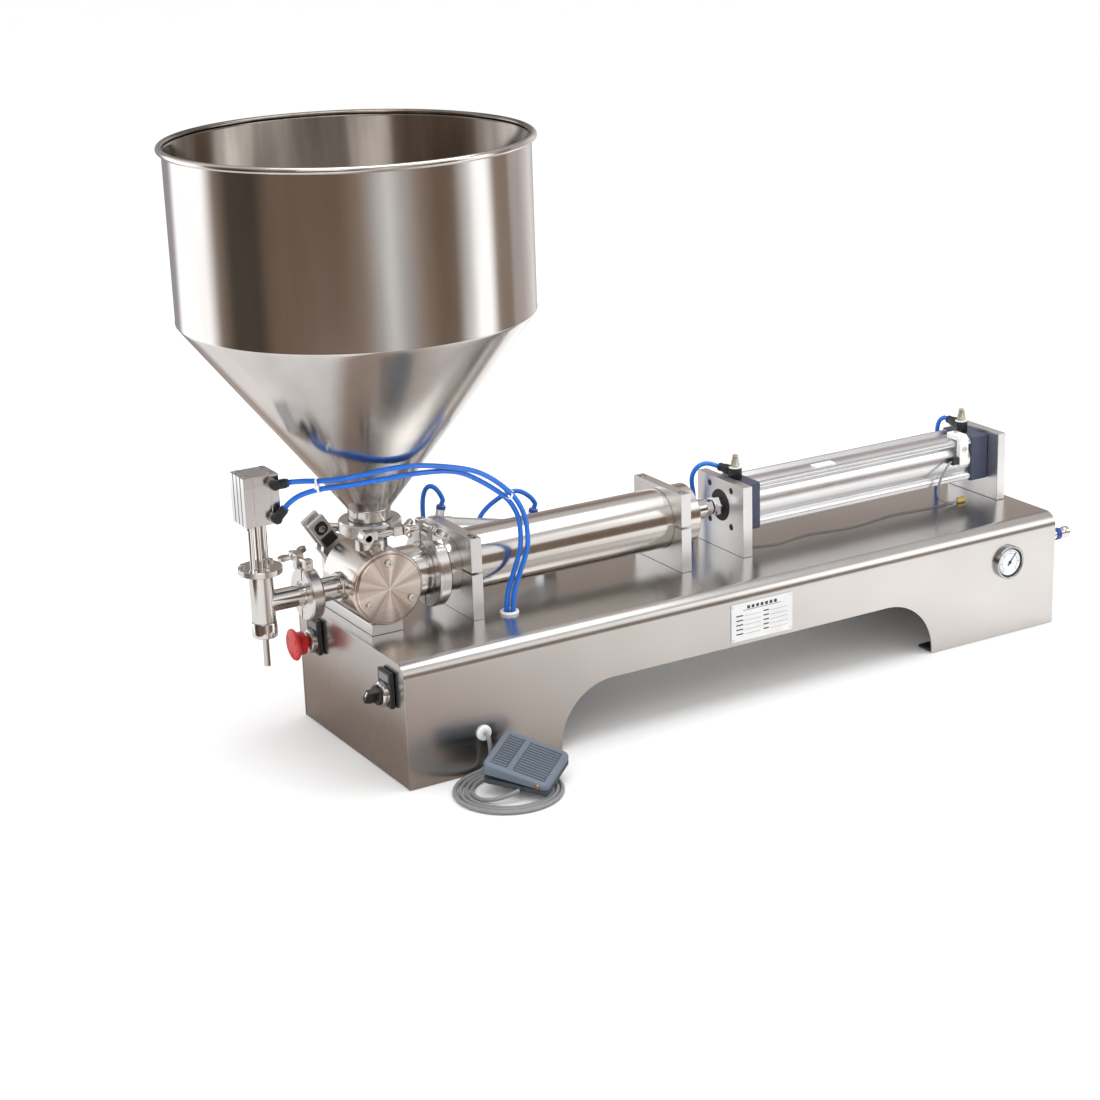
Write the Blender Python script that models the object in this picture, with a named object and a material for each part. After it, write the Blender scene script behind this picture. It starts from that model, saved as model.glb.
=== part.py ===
"""Semi-automatic piston filling machine: bench box, hopper, rotary valve, product cylinder,
pneumatic drive cylinder, shut-off nozzle, switches, hoses and foot pedal.

Metres, +Z up.  The machine's long axis is X: the nozzle is at -X, the air inlet at +X, and the
nameplate and gauge are on the -Y side.  Every part hangs from the empty "machine", whose origin
is the middle of the bench box on the surface that it stands on.
"""

import math

import bmesh
import bpy
from mathutils import Euler, Matrix, Vector

GAP = 0.0003  # clearance between touching pieces

# Bench box
BOX_L, BOX_W, BOX_H = 0.953, 0.2766, 0.150
BOX_BEND = 0.018
SHEET = 0.002
ARCH_FROM, ARCH_TO, ARCH_H, ARCH_R = -0.276, 0.274, 0.0765, 0.072
FRONT = -BOX_W / 2
LEFT, RIGHT = -BOX_L / 2, BOX_L / 2

# Process axis: product cylinder, drive cylinder and outlet share it
AXIS_Z = 0.207
VALVE_X = -0.4405
NOZZLE_X = -0.579

# Hopper, on the valve's axis
HOPPER_R, HOPPER_WALL = 0.200, 0.002
RIM_R, RIM_BEAD = 0.206, 0.0037
RIM_Z, WELD_Z, NECK_Z = 0.7118, 0.520, 0.296
NECK_R = 0.025
HOPPER_CLAMP_Z = 0.274

# Air inlet
INLET_REACH, INLET_Y, INLET_Z = 0.044, -0.112, 0.110

# Valve
VALVE_R, VALVE_BORE = 0.043, 0.030
VALVE_FRONT, VALVE_BACK = -0.0317, 0.045
SPINDLE_R = 0.008
LEVER_Y, LEVER_R, LEVER_REST = 0.075, 0.060, math.radians(122.5)
LEVER_SWING = math.radians(90)
LEVER_SLOT = 0.032
EYE_R, EYE_BORE, EYE_T = 0.0095, 0.0047, 0.009

# Clamps: centre along their pipe, outer radius, width
OUTLET_CLAMP_X, OUTLET_CLAMP_R = -0.523, 0.031
PRODUCT_CLAMP_X, PRODUCT_CLAMP_R = -0.368, 0.046
FERRULE_S, FERRULE_L = 0.02525, 0.03875
FERRULE_T = 0.0055

# Product cylinder and its two split supports
TUBE_R, TUBE_BORE = 0.0376, 0.0345
TUBE_FROM, TUBE_TO = -0.3257, -0.0100
SUPPORT_A, SUPPORT_B = (-0.340, -0.326), (-0.0497, -0.0357)
SUPPORT_HALF, SUPPORT_TOP = 0.0536, 0.2498

# Drive cylinder and its two mounting plates
MOUNT_F, MOUNT_R = (0.0436, 0.057), (0.4509, 0.4635)
MOUNT_HALF, MOUNT_TOP = 0.0504, 0.2408
CAP_HALF = 0.030
CAP_F, CAP_R = (0.0573, 0.0840), (0.4225, 0.4506)
BARREL_R, RIDGE_R, RIDGE_AT, BARREL_BORE = 0.0285, 0.0055, 0.02325, 0.025
ROD_R = 0.010

# Flow controls on the drive cylinder's caps: place, and direction of each elbow
FLOW_X = {"front": 0.0665, "rear": 0.4292}
FLOW_LEAN = {"front": math.radians(116), "rear": math.radians(99)}
FLOW_Z, FLOW_REACH, FLOW_RISE = 0.2465, 0.0235, math.radians(8)

# Nozzle
TEE_R, TEE_BORE, BRANCH_R = 0.0135, 0.0105, 0.01225
TEE_BOTTOM, TEE_TOP = 0.1853, 0.2430
NOZZLE_TIP_Z = 0.1314
FLANGE_R, FLANGE_Z = 0.025, (0.2433, 0.2503)
PLUNGER_R = 0.004
NOZZLE_BLOCK_Z = (0.303, 0.360)

# Valve actuator, tilted in the lever's plane
ACTUATOR_TILT = LEVER_REST - LEVER_SWING / 2 - math.pi / 2

# Front and end controls
GAUGE_X, GAUGE_Z, GAUGE_R = 0.397, 0.0995, 0.0222
GROMMET_X, GROMMET_Z, GROMMET_R, GROMMET_T = -0.379, 0.0482, 0.0093, 0.0032
HOSE_GROMMET = (-0.292, -0.05275)
HOSE_R = 0.003
ESTOP_Y, ESTOP_Z = 0.087, 0.114
SELECTOR_Y, SELECTOR_Z = -0.100, 0.108
PLATE_W, PLATE_H, PLATE_T = 0.030, 0.043, 0.006
CYL_HOSE_F, CYL_HOSE_R = (0.031, 0.048), (0.4235, 0.041)
ACT_HOSE_L, ACT_HOSE_R = (-0.322, 0.0985), (-0.254, 0.0985)

# Foot pedal: its corner, its tilt on the coiled cable, and its size
PEDAL_AT = (-0.4135, -0.1948, 0.0150)
PEDAL_TURN = (math.radians(8.7), math.radians(6.2), math.radians(-50.1))
PEDAL_U, PEDAL_V, PEDAL_HIGH, PEDAL_LOW = 0.0776, 0.0744, 0.0274, 0.0137
PEDAL_BASE_T = 0.0065
PEDAL_GLAND_U, PEDAL_GLAND_Z, PEDAL_GLAND_L = 0.045, 0.0037, 0.004
PEDAL_REACH = 0.2570
CABLE_R = 0.0025
COIL_AT, COIL_IN, COIL_OUT, COIL_H = (-0.3845, -0.205), 0.042, 0.066, 0.006

# The machine stands so that its box, pedal included, is centred on the origin
MACHINE_AT = (
    (RIM_R - VALVE_X - RIGHT - INLET_REACH) / 2,
    (PEDAL_REACH - RIM_R) / 2,
    0.0,
)


# ---------------------------------------------------------------- materials and mesh helpers

def material(name, colour, metallic=0.0, roughness=0.5):
    mat = bpy.data.materials.new(name)
    mat.use_nodes = True
    mat.diffuse_color = (*colour, 1.0)
    shader = mat.node_tree.nodes["Principled BSDF"]
    shader.inputs["Base Color"].default_value = (*colour, 1.0)
    shader.inputs["Metallic"].default_value = metallic
    shader.inputs["Roughness"].default_value = roughness
    return mat


def place(obj, mat, parent, at=(0, 0, 0), turn=(0, 0, 0)):
    """Link an object, give it its material and hang it from its parent."""
    bpy.context.scene.collection.objects.link(obj)
    if mat:
        obj.data.materials.append(mat)
    obj.parent = parent
    obj.location = at
    obj.rotation_euler = turn
    return obj


def solid(name, bm, mat, parent, at=(0, 0, 0), turn=(0, 0, 0), smooth=38):
    bmesh.ops.recalc_face_normals(bm, faces=bm.faces)
    mesh = bpy.data.meshes.new(name)
    bm.to_mesh(mesh)
    bm.free()
    mesh.shade_smooth()
    mesh.set_sharp_from_angle(angle=math.radians(smooth))
    return place(bpy.data.objects.new(name, mesh), mat, parent, at, turn)


def to_axis(axis):
    """Rotation that takes local +Z to a world axis."""
    return {
        "Z": Matrix.Identity(4),
        "X": Matrix.Rotation(math.pi / 2, 4, "Y"),
        "Y": Matrix.Rotation(-math.pi / 2, 4, "X"),
    }[axis]


def add_turned(bm, profile, axis="Z", at=(0, 0, 0), sides=32, phase=0.0):
    """Revolve (radius, height) points; a closed loop, or an open chain between two poles."""
    frame = Matrix.Translation(at) @ to_axis(axis)
    rings = []
    for radius, height in profile:
        count = 1 if radius == 0 else sides
        angles = [2 * math.pi * k / sides + phase for k in range(count)]
        ring = [(radius * math.cos(a), radius * math.sin(a), height) for a in angles]
        rings.append([bm.verts.new(frame @ Vector(point)) for point in ring])
    closed = profile[0][0] > 0
    pairs = zip(rings, rings[1:] + rings[:1]) if closed else zip(rings, rings[1:])
    for lower, upper in pairs:
        for k in range(sides):
            corners = [lower[k % len(lower)], lower[(k + 1) % len(lower)]]
            corners += [upper[(k + 1) % len(upper)], upper[k % len(upper)]]
            bm.faces.new(list(dict.fromkeys(corners)))
    return bm


def add_rod(bm, radius, low, high, axis="Z", at=(0, 0, 0), sides=24, phase=0.0):
    profile = [(0, low), (radius, low), (radius, high), (0, high)]
    return add_turned(bm, profile, axis, at, sides, phase)


def add_box(bm, low, high):
    made = bmesh.ops.create_cube(bm, size=1.0)["verts"]
    low, high = Vector(low), Vector(high)
    for vert in made:
        vert.co = Vector(
            low[i] + (vert.co[i] + 0.5) * (high[i] - low[i]) for i in range(3)
        )
    return bm


def add_prism(bm, outline, axis, low, high):
    """Extrude a 2-D outline: (x, z) along Y, (y, z) along X, or (x, y) along Z."""
    make = {
        "X": lambda a, b, t: (t, a, b),
        "Y": lambda a, b, t: (a, t, b),
        "Z": lambda a, b, t: (a, b, t),
    }[axis]
    ends = [[bm.verts.new(make(a, b, t)) for a, b in outline] for t in (low, high)]
    bm.faces.new(ends[0])
    bm.faces.new(ends[1])
    count = len(outline)
    for k in range(count):
        n = (k + 1) % count
        bm.faces.new((ends[0][k], ends[0][n], ends[1][n], ends[1][k]))
    return bm


def arc(cx, cy, radius, start, stop, steps):
    angles = [math.radians(start + (stop - start) * k / steps) for k in range(steps + 1)]
    return [(cx + radius * math.cos(a), cy + radius * math.sin(a)) for a in angles]


def turned(name, profile, mat, parent, axis="Z", at=(0, 0, 0), sides=32, origin=(0, 0, 0)):
    return solid(name, add_turned(bmesh.new(), profile, axis, at, sides), mat, parent, origin)


def box(name, low, high, mat, parent, bevel=0.0):
    obj = solid(name, add_box(bmesh.new(), low, high), mat, parent)
    if bevel:
        soften(obj, bevel)
    return obj


def soften(obj, width, segments=1):
    bevel = obj.modifiers.new("bevel", "BEVEL")
    bevel.width = width
    bevel.segments = segments
    bevel.limit_method = "ANGLE"
    bevel.angle_limit = math.radians(40)


def tool(name, bm, parent, at=(0, 0, 0), turn=(0, 0, 0)):
    """A shape that only joins or cuts others."""
    obj = solid(name, bm, None, parent, at, turn)
    obj.hide_render = True
    obj.display_type = "WIRE"
    return obj


def combine(obj, other, operation="DIFFERENCE"):
    step = obj.modifiers.new(other.name, "BOOLEAN")
    step.operation = operation
    step.solver = "EXACT"
    step.object = other


def rod_tool(obj, radius, low, high, axis, at, sides):
    """A cylinder turned a little on its axis, so that its corners meet no other shape's corners."""
    count = len(obj.modifiers)
    rod = add_rod(bmesh.new(), radius, low, high, axis, at, sides, 0.05 + 0.03 * count)
    return tool(f"{obj.name}_rod{count}", rod, obj.parent)


def cut_rod(obj, radius, low, high, axis="Z", at=(0, 0, 0), sides=24):
    combine(obj, rod_tool(obj, radius, low, high, axis, at, sides))


def join_rod(obj, radius, low, high, axis="Z", at=(0, 0, 0), sides=24):
    combine(obj, rod_tool(obj, radius, low, high, axis, at, sides), "UNION")


def join_box(obj, low, high):
    name = f"{obj.name}_add{len(obj.modifiers)}"
    combine(obj, tool(name, add_box(bmesh.new(), low, high), obj.parent), "UNION")


def cut_box(obj, low, high):
    name = f"{obj.name}_cut{len(obj.modifiers)}"
    combine(obj, tool(name, add_box(bmesh.new(), low, high), obj.parent))


def smooth_route(points, spacing):
    """Points along a smooth curve through the given ones: evenly spaced, and close at its ends."""
    route = [Vector(p) for p in points]
    dense = []
    for k in range(len(route) - 1):
        before = route[k - 1] if k else 2 * route[0] - route[1]
        after = route[k + 2] if k + 2 < len(route) else 2 * route[-1] - route[-2]
        start, end = route[k], route[k + 1]
        for step in range(20):
            t = step / 20
            dense.append(0.5 * (
                2 * start + (end - before) * t
                + (2 * before - 5 * start + 4 * end - after) * t ** 2
                + (3 * start - before - 3 * end + after) * t ** 3
            ))
    dense.append(route[-1])
    total = sum((b - a).length for a, b in zip(dense, dense[1:]))
    count = max(2, round(total / spacing))
    spaced, walked, target = [dense[0]], 0.0, total / count
    for a, b in zip(dense, dense[1:]):
        length = (b - a).length
        while walked + length >= target and len(spaced) < count:
            spaced.append(a.lerp(b, (target - walked) / length))
            target = total / count * (len(spaced))
        walked += length
    return [dense[0], dense[2]] + spaced[1:] + [dense[-3], dense[-1]]


def hose(name, points, radius, mat, parent, resolution=2, spacing=0.018):
    curve = bpy.data.curves.new(name, "CURVE")
    curve.dimensions = "3D"
    curve.bevel_depth = radius
    curve.bevel_resolution = resolution
    curve.use_fill_caps = True
    route = smooth_route(points, spacing)
    spline = curve.splines.new("POLY")
    spline.points.add(len(route) - 1)
    for slot, point in zip(spline.points, route):
        slot.co = (*point, 1.0)
    return place(bpy.data.objects.new(name, curve), mat, parent)


# ---------------------------------------------------------------- bench box

def bench_profile(inset):
    """Half-round topped section of the bench box, in (y, z)."""
    half, top, bend = BOX_W / 2 - inset, BOX_H - inset, BOX_BEND - inset
    foot = 0.0 if inset == 0 else -0.01
    right = arc(half - bend, top - bend, bend, 0, 90, 5)
    left = [(-y, z) for y, z in reversed(right)]
    return [(half, foot)] + right + left + [(-half, foot)]


def arch_outline():
    left = arc(ARCH_FROM + ARCH_R, ARCH_H - ARCH_R, ARCH_R, 180, 90, 6)
    right = arc(ARCH_TO - ARCH_R, ARCH_H - ARCH_R, ARCH_R, 90, 0, 6)
    return [(ARCH_FROM, -0.01)] + left + right + [(ARCH_TO, -0.01)]


def bench(mats, machine):
    shell = solid(
        "base_shell",
        add_prism(bmesh.new(), bench_profile(0), "X", LEFT, RIGHT),
        mats["brushed"], machine,
    )
    inside = add_prism(bmesh.new(), bench_profile(SHEET), "X", LEFT + SHEET, RIGHT - SHEET)
    combine(shell, tool("shell_inside", inside, machine))
    arch = add_prism(bmesh.new(), arch_outline(), "Y", -0.2, 0.2)
    combine(shell, tool("shell_arch", arch, machine))
    cut_rod(shell, 0.0088, 0.14, 0.16, "Z", (*HOSE_GROMMET, 0), 16)
    for spot in (CYL_HOSE_F, CYL_HOSE_R, ACT_HOSE_L, ACT_HOSE_R):
        cut_rod(shell, 0.0042, 0.14, 0.16, "Z", (*spot, 0), 12)
    cut_rod(shell, 0.0200, -0.15, -0.13, "Y", (GAUGE_X, 0, GAUGE_Z), 28)
    for y, z in ((ESTOP_Y, ESTOP_Z), (SELECTOR_Y, SELECTOR_Z)):
        cut_rod(shell, 0.0110, LEFT - 0.01, LEFT + 0.01, "X", (0, y, z), 18)
    cut_rod(shell, 0.0060, RIGHT - 0.01, RIGHT + 0.01, "X", (0, INLET_Y, INLET_Z), 16)

    half = BOX_W / 2 - SHEET - GAP
    end = RIGHT - SHEET - GAP
    box("base_pan", (-end, -half, ARCH_H + 0.001), (end, half, ARCH_H + 0.003),
        mats["brushed"], machine)


# ---------------------------------------------------------------- hopper and its clamp

def hopper(mats, machine):
    wall = HOPPER_WALL
    bead = arc(RIM_R - RIM_BEAD, RIM_Z, RIM_BEAD, -60, 200, 5)
    outside = [(0.032, 0.2797), (NECK_R, 0.2797), (NECK_R, NECK_Z), (NECK_R + 0.006, NECK_Z + 0.006),
               (HOPPER_R - 0.004, WELD_Z - 0.004), (HOPPER_R, WELD_Z + 0.003),
               (HOPPER_R, RIM_Z - 0.0035)]
    inside = [(HOPPER_R - wall, RIM_Z - 0.004), (HOPPER_R - wall, WELD_Z + 0.003),
              (HOPPER_R - wall - 0.0035, WELD_Z - 0.003), (NECK_R + 0.004, NECK_Z + 0.0065),
              (NECK_R - wall, NECK_Z), (NECK_R - wall, HOPPER_CLAMP_Z + 0.0002),
              (0.032, HOPPER_CLAMP_Z + 0.0002)]
    turned("hopper", outside + bead + inside, mats["polished"], machine,
           at=(VALVE_X, 0, 0), sides=44)


def clamp_profile(radius, width, ferrule, lip):
    """Section of a band clamp: an outer band with two inward lips."""
    half = width / 2
    groove = 0.0059
    return [(radius, -half), (radius, half), (lip, half), (lip, groove),
            (ferrule + GAP, groove), (ferrule + GAP, -groove), (lip, -groove), (lip, -half)]


def wing_nut(name, mat, machine, at, span, axis, spin, outward=1):
    """A two-winged nut; its origin is on the bolt and its local Z points off the bolt's end."""
    flip = Matrix.Rotation(0 if outward > 0 else math.pi, 3, "X")
    along = (Matrix.Rotation(math.radians(spin), 3, axis) @ flip @ to_axis(axis).to_3x3()).to_euler()
    bm = add_turned(bmesh.new(), [(0.0034, 0), (0.0065, 0), (0.0055, 0.008), (0.0034, 0.008)],
                    sides=16)
    nut = solid(name, bm, mat, machine, at, along)
    wing = [(0.0045, 0.001), (span * 0.55, 0.003), (span, 0.009), (span, 0.0135),
            (span * 0.85, 0.0145), (span * 0.5, 0.0095), (0.0045, 0.0075)]
    for side in (1, -1):
        outline = [(side * x, z) for x, z in wing]
        blade = tool(f"{name}_blade{side}", add_prism(bmesh.new(), outline, "Y", -0.0016, 0.0016),
                     machine, at, along)
        combine(nut, blade, "UNION")
    return nut


def clamps(mats, machine):
    steel = mats["satin"]
    # Hopper clamp: its bolt runs along X across the front
    z = HOPPER_CLAMP_Z
    ring = turned("hopper_clamp", clamp_profile(0.0365, 0.0155, 0.032, 0.0268), steel, machine,
                  at=(VALVE_X, 0, z), sides=32)
    bolt_y = -0.0410
    join_box(ring, (VALVE_X - 0.030, bolt_y - 0.004, z - 0.0055), (VALVE_X - 0.012, -0.0315, z + 0.0055))
    join_rod(ring, 0.0075, bolt_y - 0.009, bolt_y + 0.004, "Y", (VALVE_X - 0.026, 0, z), 20)
    cut_rod(ring, 0.0042, bolt_y - 0.010, bolt_y - 0.005, "Y", (VALVE_X - 0.026, 0, z), 16)
    join_rod(ring, 0.003, VALVE_X - 0.014, VALVE_X + 0.036, "X", (0, bolt_y, z), 16)
    join_box(ring, (VALVE_X + 0.008, bolt_y - 0.0045, z - 0.0055), (VALVE_X + 0.0195, -0.0315, z + 0.0055))
    wing_nut("hopper_wing", steel, machine, (VALVE_X + 0.0200, bolt_y, z), 0.012, "X", 15)

    # Outlet clamp: its bolt runs along Y over the top
    x, top = OUTLET_CLAMP_X, AXIS_Z + OUTLET_CLAMP_R + 0.0056
    ring = turned("outlet_clamp", clamp_profile(OUTLET_CLAMP_R, 0.0155, FERRULE_S, 0.016), steel,
                  machine, "X", (x, 0, AXIS_Z), 32)
    join_box(ring, (x - 0.005, -0.009, AXIS_Z + 0.028), (x + 0.005, 0.001, top + 0.0055))
    join_box(ring, (x - 0.005, 0.016, AXIS_Z + 0.0225), (x + 0.005, 0.0275, top + 0.0055))
    join_rod(ring, 0.003, -0.013, 0.044, "Y", (x, 0, top), 16)
    wing_nut("outlet_wing", steel, machine, (x, 0.0280, top), 0.0145, "Y", 20)

    # Product clamp: the same, larger, with its nut at the front
    x, top = PRODUCT_CLAMP_X, AXIS_Z + PRODUCT_CLAMP_R + 0.0056
    ring = turned("product_clamp", clamp_profile(PRODUCT_CLAMP_R, 0.016, FERRULE_L, 0.0325), steel,
                  machine, "X", (x, 0, AXIS_Z), 36)
    join_box(ring, (x - 0.0055, 0.008, AXIS_Z + 0.041), (x + 0.0055, 0.020, top + 0.0055))
    join_box(ring, (x - 0.0055, -0.0235, AXIS_Z + 0.0375), (x + 0.0055, -0.013, top + 0.0055))
    join_rod(ring, 0.003, -0.040, 0.025, "Y", (x, 0, top), 16)
    wing_nut("product_wing", steel, machine, (x, -0.0240, top), 0.0140, "Y", 35, -1)


# ---------------------------------------------------------------- rotary valve

def valve(mats, machine):
    steel = mats["polished"]
    at = (VALVE_X, 0, AXIS_Z)
    body = solid("valve_body", add_rod(bmesh.new(), VALVE_R, VALVE_FRONT, VALVE_BACK, "Y", at, 32),
                 steel, machine)
    neck_top = HOPPER_CLAMP_Z - 0.0002
    neck = [(0, 0.22), (0.019, 0.22), (0.019, neck_top - FERRULE_T), (0.032, neck_top - FERRULE_T),
            (0.032, neck_top), (0, neck_top)]
    combine(body, tool("valve_neck", add_turned(bmesh.new(), neck, "Z", (VALVE_X, 0, 0), 24, 0.04), machine), "UNION")
    face = PRODUCT_CLAMP_X - 0.0002
    side = [(0, VALVE_X + 0.02), (0.0310, VALVE_X + 0.02), (0.0310, face - FERRULE_T),
            (FERRULE_L, face - FERRULE_T), (FERRULE_L, face), (0, face)]
    combine(body, tool("valve_side", add_turned(bmesh.new(), side, "X", (0, 0, AXIS_Z), 28, 0.06), machine), "UNION")
    join_rod(body, 0.0165, -0.4873, VALVE_X - 0.02, "X", (0, 0, AXIS_Z), 16)
    cut_rod(body, VALVE_BORE, VALVE_FRONT - 0.01, 0.037, "Y", at, 32)
    cut_rod(body, 0.0165, AXIS_Z + 0.01, 0.29, "Z", (VALVE_X, 0, 0), 16)
    cut_rod(body, 0.0260, VALVE_X + 0.01, face + 0.01, "X", (0, 0, AXIS_Z), 20)
    cut_rod(body, 0.0125, -0.50, VALVE_X - 0.01, "X", (0, 0, AXIS_Z), 14)
    cut_rod(body, SPINDLE_R + GAP, 0.03, 0.06, "Y", at, 18)

    cover_profile = [(0, -0.0422), (0.0405, -0.0422), (0.0405, -0.0385), (0.044, -0.0385),
                     (0.044, VALVE_FRONT - GAP), (0, VALVE_FRONT - GAP)]
    cover = turned("valve_cover", cover_profile, mats["brushed"], machine, "Y", at, 36)
    for angle in (90, 210, 330):
        x = VALVE_X + 0.031 * math.cos(math.radians(angle))
        z = AXIS_Z + 0.031 * math.sin(math.radians(angle))
        join_rod(cover, 0.0045, -0.0452, -0.040, "Y", (x, 0, z), 10)

    # Rotor: a sector on a spindle, which blocks one port at a time
    rotor = solid("valve_rotor", add_rod(bmesh.new(), SPINDLE_R, -0.0308, 0.1120, "Y", (0, 0, 0), 20),
                  mats["satin"], machine, at)
    sector = [(0.0, 0.0)] + arc(0, 0, VALVE_BORE - GAP, 130, 230, 10)
    piece = tool("rotor_sector", add_prism(bmesh.new(), sector, "Y", -0.0310, 0.0365), machine, at)
    combine(rotor, piece, "UNION")

    # Pedestal: a foot under the body and a rear bearing for the spindle
    floor = BOX_H + GAP
    foot = box("valve_pedestal", (VALVE_X - 0.020, -0.0312, floor),
               (VALVE_X + 0.020, 0.106, AXIS_Z - VALVE_R - GAP), mats["alu"], machine)
    join_box(foot, (VALVE_X - 0.0155, 0.098, floor + 0.001), (VALVE_X + 0.0155, 0.106, 0.232))
    cut_rod(foot, SPINDLE_R + GAP, 0.09, 0.12, "Y", at, 24)


def lever(mats, machine):
    """Arm on the spindle, built upright and turned to its rest angle, with a slotted fork."""
    front, back = LEVER_Y - 0.012, LEVER_Y + 0.012
    outline = [(-0.015, -0.013), (0.015, -0.013), (0.015, 0.036), (0.0115, 0.040),
               (0.0115, LEVER_R + 0.013), (-0.0115, LEVER_R + 0.013), (-0.0115, 0.040), (-0.015, 0.036)]
    tilt = math.pi / 2 - LEVER_REST
    at = (VALVE_X, 0, AXIS_Z)
    arm = solid("valve_lever", add_prism(bmesh.new(), outline, "Y", front, back),
                mats["alu"], machine, at, (0, tilt, 0))
    parts = (
        ("lever_bore", add_rod(bmesh.new(), SPINDLE_R + GAP, front - 0.01, back + 0.01, "Y"), "DIFFERENCE"),
        ("lever_slot", add_box(bmesh.new(), (-0.02, LEVER_Y - 0.0056, LEVER_SLOT),
                               (0.02, LEVER_Y + 0.0056, LEVER_R + 0.02)), "DIFFERENCE"),
        ("lever_pin", add_rod(bmesh.new(), 0.004, front - 0.002, back + 0.002, "Y",
                              (0, 0, LEVER_R), 16), "UNION"),
    )
    for name, bm, operation in parts:
        combine(arm, tool(name, bm, machine, at, (0, tilt, 0)), operation)


def lever_pin():
    """Rest place of the fork's pin."""
    return (VALVE_X + LEVER_R * math.cos(LEVER_REST), LEVER_Y,
            AXIS_Z + LEVER_R * math.sin(LEVER_REST))


def actuator(mats, machine):
    """Small air cylinder behind the product cylinder, on the line of the fork's pin."""
    at = lever_pin()
    turn = (0, -ACTUATOR_TILT, 0)
    nose, shoulder, back = 0.135, 0.150, 0.305
    profile = [(0, back), (0.0175, back), (0.0175, 0.280), (0.0165, 0.280), (0.0165, 0.178),
               (0.0175, 0.178), (0.0175, shoulder), (0.011, shoulder), (0.011, nose), (0.0056, nose),
               (0.0056, 0.170), (0.0135, 0.170), (0.0135, 0.290), (0, 0.290)]
    body = solid("actuator_cylinder", add_turned(bmesh.new(), profile, "X", (0, 0, 0), 20),
                 mats["satin"], machine, at, turn)
    pieces = [add_box(bmesh.new(), (back - 0.004, -0.006, -0.009), (back + 0.016, 0.006, 0.009))]
    for s in (0.1605, 0.2905):
        pieces.append(add_rod(bmesh.new(), 0.0055, 0.0145, 0.031, "Z", (s, 0, 0), 10))
    for k, bm in enumerate(pieces):
        combine(body, tool(f"actuator_piece{k}", bm, machine, at, turn), "UNION")
    end_x = at[0] + (back + 0.006) * math.cos(ACTUATOR_TILT)
    floor = BOX_H + GAP
    join_box(body, (end_x - 0.008, LEVER_Y - 0.010, floor), (end_x + 0.010, LEVER_Y + 0.010, 0.194))

    rod_profile = [(0, 0.0068), (0.005, 0.0068), (0.005, 0.1715), (0.0130, 0.1715),
                   (0.0130, 0.1835), (0, 0.1835)]
    rod = solid("actuator_rod", add_turned(bmesh.new(), rod_profile, "X", (0, 0, 0), 16),
                mats["polished"], machine, at, turn)
    # The rod's eye is open on top, where the pin leaves it in the middle of the lever's turn
    horn, mouth = 0.0055, 0.0057
    corner = math.degrees(math.asin(horn / EYE_R))
    outline = arc(0, 0, EYE_R, corner, -180 - corner, 20) + [(-mouth, horn)]
    outline += arc(0, 0, EYE_BORE, 180, 360, 10) + [(mouth, horn)]
    eye = add_prism(bmesh.new(), outline, "Y", -EYE_T / 2, EYE_T / 2)
    combine(rod, tool("rod_eye", eye, machine, at, turn), "UNION")


# ---------------------------------------------------------------- outlet and nozzle

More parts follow.
